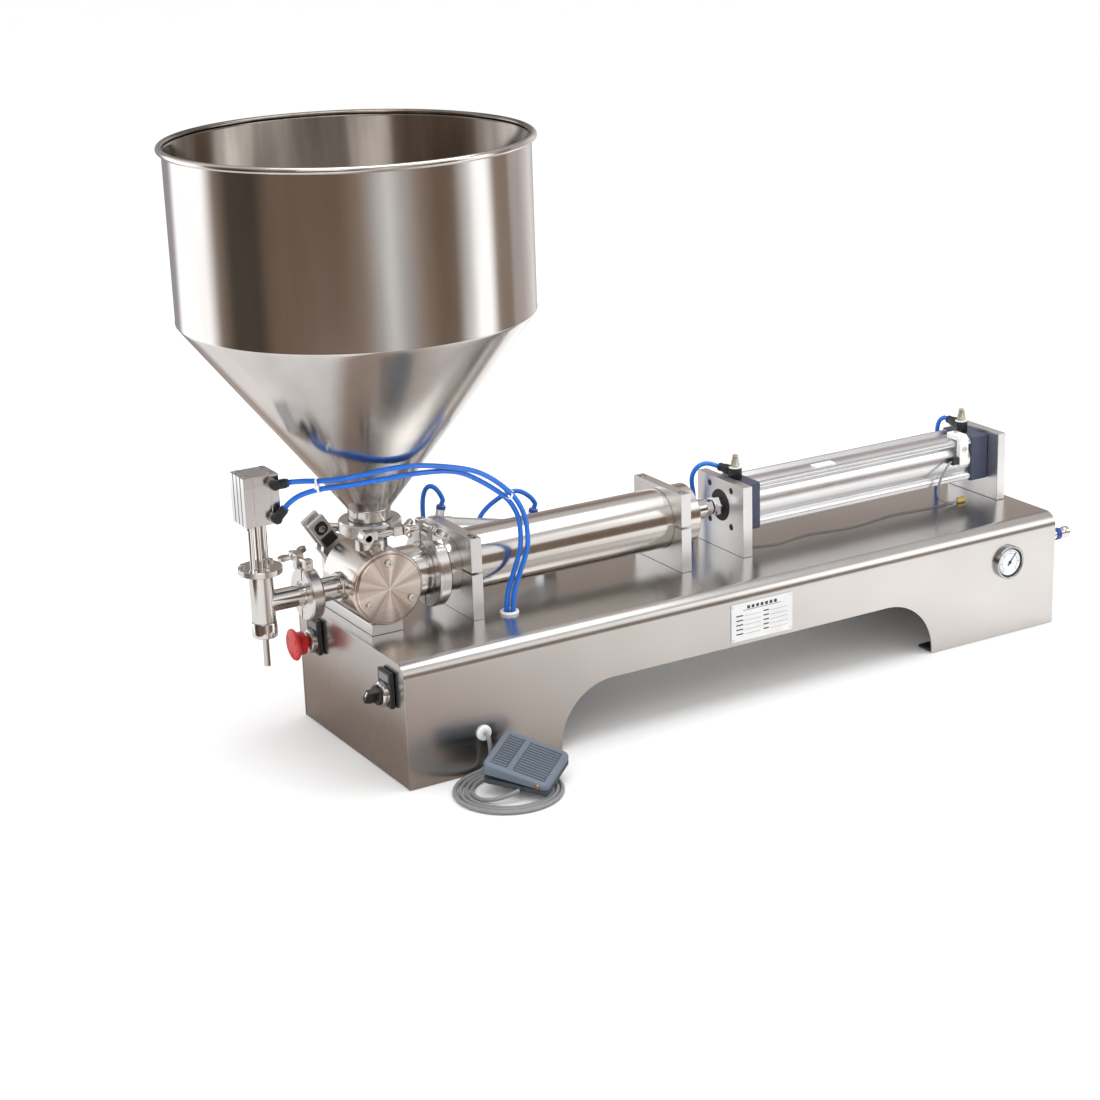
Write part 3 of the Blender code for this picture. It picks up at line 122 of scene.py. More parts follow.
def ground(name, size, depth, colour):
    bm = bmesh.new()
    bmesh.ops.create_grid(bm, x_segments=1, y_segments=1, size=size)
    mesh = bpy.data.meshes.new(name)
    bm.to_mesh(mesh)
    bm.free()
    obj = bpy.data.objects.new(name, mesh)
    bpy.context.scene.collection.objects.link(obj)
    obj.location.z = cad_low.z - depth
    mat, tree, bsdf = new_material(f"{name}_pale", colour, 0.0, 0.75)
    grain = noise(tree, coordinates(tree), 6.0, 3.0)
    vary(tree, bsdf, "Roughness", grain, 0.70, 0.80)
    obj.data.materials.append(mat)
    return obj


def floor():
    """A wide pale floor, and a table-sized sheet that is all the metal mirrors of it; the sheet's colour is
    painted shade, a dark brown band towards the left end and paler to the right, for the machine's shadow on
    the floor.
    """
    wide = ground("floor", 20.0, 0.0003, (0.93, 0.93, 0.93))
    wide.visible_glossy = False
    sheet = ground("paper", 1.15, 0.0001, (0.60, 0.57, 0.56))
    tree = sheet.data.materials[0].node_tree
    # Painted shade: the colour runs over X from a dark brown band at the left end to pale at the right,
    # standing in for the machine's shadow on the floor that the metal reflects.
    across = tree.nodes.new("ShaderNodeSeparateXYZ")
    tree.links.new(coordinates(tree), across.inputs[0])
    place = maths(tree, "MULTIPLY", maths(tree, "ADD", across.outputs["X"], 1.0), 0.5)
    floor_shadow_colour = ramp(tree, place, ((0.00, (0.80, 0.79, 0.78)), (0.22, (0.70, 0.68, 0.67)),
                                (0.25, (0.27, 0.20, 0.16)), (0.35, (0.36, 0.30, 0.27)),
                                (0.475, (0.60, 0.57, 0.55)), (0.60, (0.74, 0.72, 0.71)),
                                (0.75, (0.92, 0.91, 0.90))))
    tree.links.new(floor_shadow_colour, tree.nodes["Principled BSDF"].inputs["Base Color"])
    sheet.visible_camera = False
    sheet.visible_diffuse = False
    sheet.visible_shadow = False


def ramp(tree, factor, stops):
    node = tree.nodes.new("ShaderNodeValToRGB")
    elements = node.color_ramp.elements
    while len(elements) < len(stops):
        elements.new(0.5)
    for element, (place, colour) in zip(elements, stops):
        element.position = place
        element.color = (*colour, 1.0)
    tree.links.new(factor, node.inputs["Fac"])
    return node.outputs["Color"]


def maths(tree, operation, *values):
    node = tree.nodes.new("ShaderNodeMath")
    node.operation = operation
    for socket, value in zip(node.inputs, values):
        if isinstance(value, (int, float)):
            socket.default_value = value
        else:
            tree.links.new(value, socket)
    return node.outputs[0]


def studio():
    """A softly lit room round the machine: warm dark walls, two windows and a pale table."""
    world = bpy.data.worlds.new("studio")
    bpy.context.scene.world = world
    world.use_nodes = True
    tree = world.node_tree
    tree.nodes.clear()
    direction = tree.nodes.new("ShaderNodeTexCoord").outputs["Generated"]
    split = tree.nodes.new("ShaderNodeSeparateXYZ")
    tree.links.new(direction, split.inputs[0])
    turn = maths(tree, "ARCTAN2", split.outputs["Y"], split.outputs["X"])
    turn = maths(tree, "FRACT", maths(tree, "ADD", maths(tree, "DIVIDE", turn, 2 * math.pi), 1.0))
    dark, brown, tan = (0.080, 0.064, 0.048), (0.200, 0.136, 0.098), (0.32, 0.24, 0.19)
    grey, pale, window = (0.50, 0.47, 0.45), (0.85, 0.84, 0.83), (1.6, 1.6, 1.62)

    def around(*stops):
        return ramp(tree, turn, [(degrees / 360, colour) for degrees, colour in stops])

    middle = around((0, (0.50, 0.46, 0.44)), (16, (0.62, 0.54, 0.53)), (36, (0.95, 0.93, 0.92)),
                    (52, (0.50, 0.46, 0.44)), (72, (0.30, 0.29, 0.30)), (98, (0.40, 0.38, 0.38)),
                    (107, window), (142, window), (152, tan), (164, dark), (184, dark), (192, brown),
                    (238, brown), (250, tan), (258, grey), (267, pale), (277, grey), (287, tan), (298, brown),
                    (310, brown), (321, pale), (327, window), (337, window), (344, tan), (352, tan))
    upper = around((0, grey), (30, grey), (46, tan), (85, tan), (110, pale), (140, pale), (160, tan),
                   (210, tan), (245, grey), (272, grey), (290, (1.15, 1.14, 1.14)), (318, (1.15, 1.14, 1.14)),
                   (332, grey), (352, grey))
    lower = around((0, pale), (60, grey), (100, tan), (125, grey), (150, grey), (200, tan), (262, grey),
                   (292, tan), (299, grey), (312, pale), (335, pale), (350, grey))
    height = split.outputs["Z"]

    def blend(low, high, start, stop):
        step = tree.nodes.new("ShaderNodeMapRange")
        step.interpolation_type = "SMOOTHSTEP"
        tree.links.new(height, step.inputs["Value"])
        step.inputs["From Min"].default_value = start
        step.inputs["From Max"].default_value = stop
        mix = tree.nodes.new("ShaderNodeMix")
        mix.data_type = "RGBA"
        tree.links.new(step.outputs[0], mix.inputs["Factor"])
        for value, socket in ((low, mix.inputs["A"]), (high, mix.inputs["B"])):
            if isinstance(value, tuple):
                socket.default_value = (*value, 1.0)
            else:
                tree.links.new(value, socket)
        return mix.outputs["Result"]

    colour = blend((0.80, 0.78, 0.76), lower, -0.80, -0.62)
    colour = blend(colour, middle, -0.56, -0.46)
    colour = blend(colour, upper, 0.29, 0.36)
    colour = blend(colour, (0.66, 0.65, 0.65), 0.56, 0.72)
    room = tree.nodes.new("ShaderNodeBackground")
    tree.links.new(colour, room.inputs["Color"])
    plain = tree.nodes.new("ShaderNodeBackground")
    plain.inputs["Color"].default_value = (1.12, 1.12, 1.12, 1.0)
    seen = tree.nodes.new("ShaderNodeLightPath")
    mix = tree.nodes.new("ShaderNodeMixShader")
    tree.links.new(seen.outputs["Is Glossy Ray"], mix.inputs[0])
    tree.links.new(plain.outputs[0], mix.inputs[1])
    tree.links.new(room.outputs[0], mix.inputs[2])
    out = tree.nodes.new("ShaderNodeOutputWorld")
    tree.links.new(mix.outputs[0], out.inputs["Surface"])


def lamp(name, place, aim, size, power):
    data = bpy.data.lights.new(name, "AREA")
    data.shape = "RECTANGLE"
    data.size, data.size_y = size
    data.energy = power
    obj = bpy.data.objects.new(name, data)
    bpy.context.scene.collection.objects.link(obj)
    obj.location = ORIGIN + Vector(place)
    obj.rotation_mode = "QUATERNION"
    obj.rotation_quaternion = (Vector(aim) - Vector(place)).to_track_quat("-Z", "Y")


def lights():
    lamp("overhead", (0.0, -0.3, 2.6), (0, 0, 0), (2.6, 1.8), 34)
    lamp("front_left", (-2.2, -2.0, 1.9), (-0.1, 0, 0.3), (1.4, 1.4), 7)
    lamp("front_right", (2.1, -1.9, 1.6), (0.1, 0, 0.2), (1.2, 1.6), 6)


# ---------------------------------------------------------------- materials
def new_material(name, colour, metallic, roughness):
    mat = bpy.data.materials.new(name)
    mat.use_nodes = True
    tree = mat.node_tree
    bsdf = tree.nodes["Principled BSDF"]
    bsdf.inputs["Base Color"].default_value = (*colour, 1.0)
    bsdf.inputs["Metallic"].default_value = metallic
    bsdf.inputs["Roughness"].default_value = roughness
    return mat, tree, bsdf


def coordinates(tree, scale=(1, 1, 1)):
    place = tree.nodes.new("ShaderNodeTexCoord").outputs["Object"]
    mapping = tree.nodes.new("ShaderNodeMapping")
    mapping.inputs["Scale"].default_value = scale
    tree.links.new(place, mapping.inputs["Vector"])
    return mapping.outputs["Vector"]


def round_axis(tree):
    """X, Y and Z in a piece's own frame, and the distance from its Z axis."""
    split = tree.nodes.new("ShaderNodeSeparateXYZ")
    tree.links.new(tree.nodes.new("ShaderNodeTexCoord").outputs["Object"], split.inputs[0])
    x, y, z = split.outputs
    radius = maths(tree, "SQRT", maths(tree, "ADD", maths(tree, "MULTIPLY", x, x),
                                       maths(tree, "MULTIPLY", y, y)))
    return x, y, z, radius


def combine(tree, x, y):
    vector = tree.nodes.new("ShaderNodeCombineXYZ")
    tree.links.new(x, vector.inputs["X"])
    tree.links.new(y, vector.inputs["Y"])
    return vector.outputs[0]


def ring_coordinates(tree):
    """Distance from the piece's own Z axis and height along it, which makes rings round it."""
    _, _, z, radius = round_axis(tree)
    return combine(tree, radius, z)


def noise(tree, vector, scale, detail=2.0, roughness=0.5):
    node = tree.nodes.new("ShaderNodeTexNoise")
    node.inputs["Scale"].default_value = scale
    node.inputs["Detail"].default_value = detail
    node.inputs["Roughness"].default_value = roughness
    tree.links.new(vector, node.inputs["Vector"])
    return node.outputs["Fac"]


def vary(tree, bsdf, socket, factor, low, high):
    step = tree.nodes.new("ShaderNodeMapRange")
    step.inputs["From Min"].default_value = 0.3
    step.inputs["From Max"].default_value = 0.7
    step.inputs["To Min"].default_value = low
    step.inputs["To Max"].default_value = high
    tree.links.new(factor, step.inputs["Value"])
    tree.links.new(step.outputs[0], bsdf.inputs[socket])


def tint(tree, bsdf, factor, dark, light):
    tree.links.new(ramp(tree, factor, [(0.32, dark), (0.68, light)]), bsdf.inputs["Base Color"])


def relief(tree, bsdf, factor, strength, distance):
    bump = tree.nodes.new("ShaderNodeBump")
    bump.inputs["Strength"].default_value = strength
    bump.inputs["Distance"].default_value = distance
    tree.links.new(factor, bump.inputs["Height"])
    tree.links.new(bump.outputs["Normal"], bsdf.inputs["Normal"])


def shade(colour, factor):
    return tuple(channel * factor for channel in colour)


def metal(name, colour, roughness, grain=None, strength=0.10, spread=0.06, anisotropic=0.0):
    """Steel or aluminium.  grain is the scale of straight streaks, or "ring" for turned marks."""
    mat, tree, bsdf = new_material(name, colour, 1.0, roughness)
    vector = ring_coordinates(tree) if grain == "ring" else coordinates(tree, grain or (1, 1, 1))
    streaks = noise(tree, vector, 900.0 if grain == "ring" else 1.0, 3.0, 0.6)
    cloud = noise(tree, coordinates(tree), 7.0, 3.0)
    tint(tree, bsdf, cloud, shade(colour, 0.93), shade(colour, 1.04))
    both = maths(tree, "ADD", maths(tree, "MULTIPLY", streaks, 0.6), maths(tree, "MULTIPLY", cloud, 0.4))
    vary(tree, bsdf, "Roughness", both, max(0.03, roughness - spread), roughness + spread)
    relief(tree, bsdf, streaks, strength, 0.0004)
    if anisotropic:
        bsdf.inputs["Anisotropic"].default_value = anisotropic
        tangent = tree.nodes.new("ShaderNodeTangent")
        tangent.direction_type = "RADIAL"
        tangent.axis = "Z"
        tree.links.new(tangent.outputs[0], bsdf.inputs["Tangent"])
        bsdf.inputs["Anisotropic Rotation"].default_value = 0.25
    return mat


def hopper_steel(name):
    """Polished outside with fine rings; where the wall faces inwards the colour is darkened to brown, painted
    shade of the hopper's inside.
    """
    colour = (0.66, 0.64, 0.62)
    mat = metal(name, colour, 0.15, "ring", 0.03, 0.04, 0.45)
    tree = mat.node_tree
    bsdf = tree.nodes["Principled BSDF"]
    place = tree.nodes.new("ShaderNodeTexCoord")
    flat = tree.nodes.new("ShaderNodeVectorMath")
    flat.operation = "MULTIPLY"
    flat.inputs[1].default_value = (1.0, 1.0, 0.0)
    tree.links.new(place.outputs["Object"], flat.inputs[0])
    facing = tree.nodes.new("ShaderNodeVectorMath")
    facing.operation = "DOT_PRODUCT"
    tree.links.new(place.outputs["Normal"], facing.inputs[0])
    tree.links.new(flat.outputs[0], facing.inputs[1])
    # Painted shade: faces turned towards the axis get a dark brown colour, the shade inside the hopper.
    inside = maths(tree, "LESS_THAN", facing.outputs["Value"], -0.002)
    cloud = noise(tree, coordinates(tree, (6.0, 6.0, 1.0)), 5.0, 3.0)
    inner_wall_shade = tree.nodes.new("ShaderNodeMix")
    inner_wall_shade.data_type = "RGBA"
    tree.links.new(inside, inner_wall_shade.inputs["Factor"])
    tree.links.new(ramp(tree, cloud, [(0.3, shade(colour, 0.90)), (0.7, shade(colour, 1.04))]),
                   inner_wall_shade.inputs["A"])
    tree.links.new(ramp(tree, cloud, [(0.3, (0.17, 0.15, 0.13)), (0.7, (0.30, 0.27, 0.24))]),
                   inner_wall_shade.inputs["B"])
    tree.links.new(inner_wall_shade.outputs["Result"], bsdf.inputs["Base Color"])
    return mat


def faced_steel(name):
    """Steel faced in a lathe: rings too fine to see, and painted reflection, light and dark wedges round the
    centre painted into the colour.
    """
    mat, tree, bsdf = new_material(name, (0.66, 0.57, 0.51), 1.0, 0.25)
    x, y, _, radius = round_axis(tree)
    away = maths(tree, "MAXIMUM", radius, 0.0002)
    # Painted reflection: noise over the direction from the centre makes the light and dark wedges a turned
    # face reflects.
    reflection_fan = noise(tree, combine(tree, maths(tree, "DIVIDE", x, away), maths(tree, "DIVIDE", y, away)), 1.9, 3.0,
                0.55)
    tint(tree, bsdf, reflection_fan, (0.40, 0.32, 0.27), (0.96, 0.88, 0.82))
    rings = noise(tree, ring_coordinates(tree), 2600.0, 2.0, 0.5)
    vary(tree, bsdf, "Roughness", rings, 0.22, 0.28)
    relief(tree, bsdf, rings, 0.006, 0.0002)
    return mat


def plastic(name, colour, roughness, scale=600.0, strength=0.08, wear=0.12, coat=0.0):
    """Moulded plastic, rubber or paint: a fine grain, and a little lighter where it is rubbed."""
    mat, tree, bsdf = new_material(name, colour, 0.0, roughness)
    grain = noise(tree, coordinates(tree), scale, 3.0)
    cloud = noise(tree, coordinates(tree), 40.0, 3.0)
    tint(tree, bsdf, cloud, shade(colour, 1.0 - wear), shade(colour, 1.0 + wear))
    vary(tree, bsdf, "Roughness", cloud, roughness - 0.05, roughness + 0.07)
    relief(tree, bsdf, grain, strength, 0.0004)
    bsdf.inputs["Coat Weight"].default_value = coat
    return mat


def make_materials():
    table = {
        "sheet": (metal, (0.60, 0.58, 0.56), 0.23, (6, 2400, 2400), 0.015, 0.03),
        "sheet_end": (metal, (0.60, 0.58, 0.56), 0.26, (2400, 2400, 8), 0.015, 0.03),
        "hopper": (hopper_steel,),
        "polished": (metal, (0.68, 0.66, 0.64), 0.10, "ring", 0.02, 0.03),
        "turned": (metal, (0.66, 0.63, 0.60), 0.17, "ring", 0.02, 0.04, 0.4),
        "cover": (faced_steel,),
        "cast": (metal, (0.70, 0.68, 0.66), 0.22, (160, 160, 160), 0.06, 0.06),
        "alu": (metal, (0.80, 0.80, 0.80), 0.34, (700, 700, 30), 0.04, 0.06),
        "anodised": (metal, (0.84, 0.85, 0.87), 0.30, (6, 800, 800), 0.05, 0.05),
        "chrome": (metal, (0.80, 0.80, 0.81), 0.07, (80, 80, 80), 0.01, 0.02),
        "bezel": (metal, (0.46, 0.46, 0.47), 0.12, (80, 80, 80), 0.01, 0.03),
        "brass": (metal, (0.64, 0.60, 0.52), 0.25, "ring", 0.05, 0.06),
        "copper": (metal, (0.72, 0.42, 0.30), 0.28, "ring", 0.05, 0.06),
        "navy": (plastic, (0.050, 0.060, 0.105), 0.38, 700, 0.05),
        "black": (plastic, (0.014, 0.014, 0.016), 0.34, 900, 0.05),
        "rubber": (plastic, (0.020, 0.020, 0.021), 0.60, 900, 0.10),
        "white": (plastic, (0.86, 0.86, 0.84), 0.40, 900, 0.04, 0.04),
        "dial": (plastic, (0.80, 0.84, 0.90), 0.30, 900, 0.01, 0.02),
        "ink": (plastic, (0.035, 0.037, 0.045), 0.50, 900, 0.01, 0.05),
        "red": (plastic, (0.56, 0.012, 0.014), 0.32, 900, 0.03, 0.06, 0.2),
        "hose": (plastic, (0.006, 0.145, 0.62), 0.22, 500, 0.02, 0.10, 0.3),
        "collar": (plastic, (0.01, 0.06, 0.28), 0.35, 800, 0.03),
        "pedal": (plastic, (0.135, 0.165, 0.205), 0.40, 1400, 0.14, 0.08),
        "pedal_dark": (plastic, (0.055, 0.066, 0.080), 0.50, 1400, 0.12, 0.08),
        "cable": (plastic, (0.235, 0.24, 0.25), 0.42, 900, 0.04, 0.06),
        "teflon": (plastic, (0.80, 0.79, 0.76), 0.35, 900, 0.03, 0.03),
        "bright": (metal, (0.74, 0.74, 0.75), 0.17, (30, 900, 900), 0.03, 0.05),
        "wire": (plastic, (0.16, 0.15, 0.145), 0.45, 900, 0.04, 0.06),
        "plate": (plastic, (0.70, 0.70, 0.70), 0.42, 900, 0.03, 0.05),
        "amber": (plastic, (0.50, 0.36, 0.10), 0.35, 800, 0.04),
        # Near-black finish for painted shadow, laid in holes, slots and recesses where shade falls.
        "dark_slot": (plastic, (0.020, 0.018, 0.017), 0.60, 900, 0.05),
    }
    return {name: make(name, *rest) for name, (make, *rest) in table.items()}


# ---------------------------------------------------------------- mesh helpers
def to_axis(axis):
    """The turn that lays local Z along an axis: "X", "Y" or "Z", with a minus for the other way."""
    turns = {"Z": Matrix.Identity(3), "X": Matrix.Rotation(math.pi / 2, 3, "Y"),
             "Y": Matrix.Rotation(-math.pi / 2, 3, "X")}
    return turns[axis[-1]] @ Matrix.Rotation(math.pi if axis[0] == "-" else 0, 3, "X")


def show(obj, mat, body, replaces=(), at=(0, 0, 0), turn=None):
    """Place a piece in the machine's frame and let it ride on a body."""
    bpy.context.scene.collection.objects.link(obj)
    obj.data.materials.append(mat)
    obj.location = ORIGIN + Vector(at)
    if turn is not None:
        obj.rotation_mode = "QUATERNION"
        obj.rotation_quaternion = turn.to_quaternion()
    bpy.context.view_layer.update()
    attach(obj, body)
    if replaces:
        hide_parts(*replaces)
    return obj


def piece(name, bm, mat, body, replaces=(), at=(0, 0, 0), turn=None, bevel=0.0, segments=2, smooth=35):
    bmesh.ops.recalc_face_normals(bm, faces=bm.faces)
    mesh = bpy.data.meshes.new(name)
    bm.to_mesh(mesh)
    bm.free()
    mesh.shade_smooth()
    mesh.set_sharp_from_angle(angle=math.radians(smooth))
    obj = show(bpy.data.objects.new(name, mesh), mat, body, replaces, at, turn)
    if bevel:
        soften(obj, bevel, segments)
    return obj


def soften(obj, width, segments=2):
    bevel = obj.modifiers.new("bevel", "BEVEL")
    bevel.width = width
    bevel.segments = segments
    bevel.limit_method = "ANGLE"
    bevel.angle_limit = math.radians(40)
    bevel.harden_normals = True


def add_turned(bm, profile, sides=64, matrix=None):
    """Revolve (radius, height) points round Z: a closed loop, or a chain between two poles."""
    matrix = matrix or Matrix.Identity(4)
    rings = []
    for radius, height in profile:
        count = 1 if radius == 0 else sides
        angles = [2 * math.pi * k / sides for k in range(count)]
        rings.append([bm.verts.new(matrix @ Vector((radius * math.cos(a), radius * math.sin(a),
                                                    height))) for a in angles])
    follow = rings[1:] + rings[:1] if profile[0][0] > 0 else rings[1:]
    for lower, upper in zip(rings, follow):
        for k in range(sides):
            corners = [lower[k % len(lower)], lower[(k + 1) % len(lower)]]
            corners += [upper[(k + 1) % len(upper)], upper[k % len(upper)]]
            corners = list(dict.fromkeys(corners))
            if len(corners) > 2:
                bm.faces.new(corners)
    return bm


def add_rod(bm, radius, low, high, sides=32, matrix=None):
    return add_turned(bm, [(0, low), (radius, low), (radius, high), (0, high)], sides, matrix)


def add_box(bm, low, high):
    made = bmesh.ops.create_cube(bm, size=1.0)["verts"]
    for vert in made:
        vert.co = Vector(low[i] + (vert.co[i] + 0.5) * (high[i] - low[i]) for i in range(3))
    return bm


def join(bm, lower, upper):
    """Walls between two closed rings of the same number of vertices."""
    for k, vert in enumerate(lower):
        n = (k + 1) % len(lower)
        bm.faces.new((vert, lower[n], upper[n], upper[k]))


def add_prism(bm, outline, axis, low, high):
    """Extrude an outline: (y, z) along X, (x, z) along Y, or (x, y) along Z."""
    make = {"X": lambda a, b, t: (t, a, b), "Y": lambda a, b, t: (a, t, b), "Z": lambda a, b,
            t: (a, b, t)}[axis]
    ends = [[bm.verts.new(make(a, b, t)) for a, b in outline] for t in (low, high)]
    bm.faces.new(ends[0])
    bm.faces.new(ends[1])
    join(bm, *ends)
    return bm


def arc(cx, cy, radius, start, stop, steps):
    angles = [math.radians(start + (stop - start) * k / steps) for k in range(steps + 1)]
    return [(cx + radius * math.cos(a), cy + radius * math.sin(a)) for a in angles]


def turned(name, profile, mat, axis, at, body=MACHINE, replaces=(), sides=96, bevel=0.0):
    """A round piece on an axis through at; heights in its profile run along the axis from there."""
    bm = add_turned(bmesh.new(), profile, sides)
    return piece(name, bm, mat, body, replaces, at, to_axis(axis), bevel)


def moved(bm, matrix):
    bmesh.ops.transform(bm, verts=bm.verts, matrix=matrix)
    return bm


def cut(obj, bm, operation="DIFFERENCE"):
    """Cut a shape out of a piece that has no modifiers yet, or join it on, and keep the result."""
    bmesh.ops.recalc_face_normals(bm, faces=bm.faces)
    mesh = bpy.data.meshes.new("tool")
    bm.to_mesh(mesh)
    bm.free()
    tool = bpy.data.objects.new("tool", mesh)
    bpy.context.scene.collection.objects.link(tool)
    tool.matrix_world = obj.matrix_world.copy()
    step = obj.modifiers.new("cut", "BOOLEAN")
    step.operation = operation
    step.solver = "EXACT"
    step.object = tool
    bpy.context.view_layer.update()
    result = bpy.data.meshes.new_from_object(obj.evaluated_get(bpy.context.evaluated_depsgraph_get()))
    obj.modifiers.remove(step)
    old = obj.data
    obj.data = result
    bpy.data.meshes.remove(old)
    bpy.data.objects.remove(tool)
    result.shade_smooth()
    result.set_sharp_from_angle(angle=math.radians(35))
    return obj


def smooth_route(points, spacing):
    route = [Vector(p) for p in points]
    dense = []
    for k in range(len(route) - 1):
        before = route[k - 1] if k else 2 * route[0] - route[1]
        after = route[k + 2] if k + 2 < len(route) else 2 * route[-1] - route[-2]
        start, end = route[k], route[k + 1]
        for step in range(20):
            t = step / 20
            dense.append(0.5 * (
                2 * start + (end - before) * t
                + (2 * before - 5 * start + 4 * end - after) * t ** 2
                + (3 * start - before - 3 * end + after) * t ** 3
            ))
    dense.append(route[-1])
    total = sum((b - a).length for a, b in zip(dense, dense[1:]))
    count = max(2, round(total / spacing))
    spaced, walked, target = [dense[0]], 0.0, total / count
    for a, b in zip(dense, dense[1:]):
        length = (b - a).length
        while walked + length >= target and len(spaced) < count:
            spaced.append(a.lerp(b, (target - walked) / length))
            target = total / count * len(spaced)
        walked += length
    return spaced + [dense[-1]]


def relax(route, passes):
    """Ease the corners of a route, its first and last three points kept."""
    for _ in range(passes):
        middle = [(route[k - 1] + 2 * route[k] + route[k + 1]) / 4 for k in range(3, len(route) - 3)]
        route = route[:3] + middle + route[-3:]
    return route


def tube(name, points, radius, mat, replaces=(), body=MACHINE, spacing=0.003, resolution=6):
    curve = bpy.data.curves.new(name, "CURVE")
    curve.dimensions = "3D"
    curve.bevel_depth = radius
    curve.bevel_resolution = resolution
    curve.use_fill_caps = True
    route = relax(smooth_route(points, spacing), 10) if spacing else [Vector(p) for p in points]
    spline = curve.splines.new("POLY")
    spline.points.add(len(route) - 1)
    for slot_point, point in zip(spline.points, route):
        slot_point.co = (*point, 1.0)
    spline.use_smooth = True
    return show(bpy.data.objects.new(name, curve), mat, body, replaces)


def coat(node, mat, bevel=0.0, segments=2):
    """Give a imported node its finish, and soft edges if it has a bevel."""
    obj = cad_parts[node]
    if not obj.material_slots:
        obj.data.materials.append(mat)
    for holder in obj.material_slots:
        holder.material = mat
    if bevel:
        weld = obj.modifiers.new("weld", "WELD")
        weld.merge_threshold = 0.00001
        soften(obj, bevel, segments)


def screw(name, at, axis, mats, radius=0.0040, height=0.0035):
    """Socket-head screw: a rounded head with a round recess, standing out along its axis."""
    edge, side = radius * 0.14, radius * 0.45
    profile = [(0, 0), (radius, 0), (radius, height - edge), (radius - edge, height)]
    hollow = [(side, height), (side * 0.98, height * 0.45), (0, height * 0.45)]
    bm = add_turned(bmesh.new(), profile + hollow, 24)
    piece(name, bm, mats["cast"], MACHINE, (), at, to_axis(axis))


# ---------------------------------------------------------------- cords and hoses
def pedal_frame():
    return Matrix.Translation(PEDAL_AT) @ Euler(PEDAL_TURN).to_matrix().to_4x4()


def on_plan(u, v, height):
    """A point at a height over the floor, u and v along the pedal's own sides seen from above."""
    heading = PEDAL_TURN[2]
    along, across = (math.cos(heading), math.sin(heading)), (-math.sin(heading), math.cos(heading))
    return Vector((PEDAL_AT[0] + u * along[0] + v * across[0], PEDAL_AT[1] + u * along[1] + v * across[1],
                   height))


def cable(mats):
    """The pedal's cable: down from its grommet, three turns and a bit on the floor, and to the pedal."""
    lead = [(GROMMET[0], FRONT - 0.0038, GROMMET[1]), (-0.3790, -0.1450, 0.0481), (-0.3789, -0.1481, 0.0466),
            (-0.3787, -0.1504, 0.0432), (-0.3784, -0.1516, 0.0380), (-0.3782, -0.1519, 0.0280),
            (-0.3787, -0.1508, 0.0185), (-0.3808, -0.1480, 0.0105), (-0.3853, -0.1448, 0.0056)]
    turns, outer, inner = 3.21, 0.0632, 0.0442
    start = math.radians(98)
    steps = round(turns * 40)
    coil = []
    for k in range(steps + 1):
        wound = turns * k / steps
        angle = start + 2 * math.pi * wound
        radius = outer + (inner - outer) * k / steps
        slip = 0.0006 * wound
        coil.append((COIL_AT[0] + 0.86 * slip + radius * math.cos(angle),
                     COIL_AT[1] - 0.51 * slip + radius * math.sin(angle),
                     0.0029 + 0.0002 * math.sin(5.0 * wound)))
    mouth = pedal_frame() @ Vector((PEDAL_GLAND[0], -PEDAL_GLAND[2] - GAP, PEDAL_GLAND[1]))
    tail = [on_plan(-0.002, -0.0160, 0.0029), on_plan(0.008, -0.0198, 0.0032),
            on_plan(0.018, -0.0200, 0.0045), on_plan(0.0275, -0.0178, 0.0070),
            on_plan(0.0370, -0.0132, 0.0100), on_plan(0.0425, -0.0085, 0.0122), mouth]
    route = relax(smooth_route(lead + coil[1:] + tail, 0.0045), 4)
    obj = tube("pedal_cable", route, CABLE_R, mats["cable"],
               ("pedal_lead", "pedal_coil", "pedal_tail"), spacing=0)
    length = sum((b - a).length for a, b in zip(route, route[1:]))
    ORIGIN + Vector(lead[0])


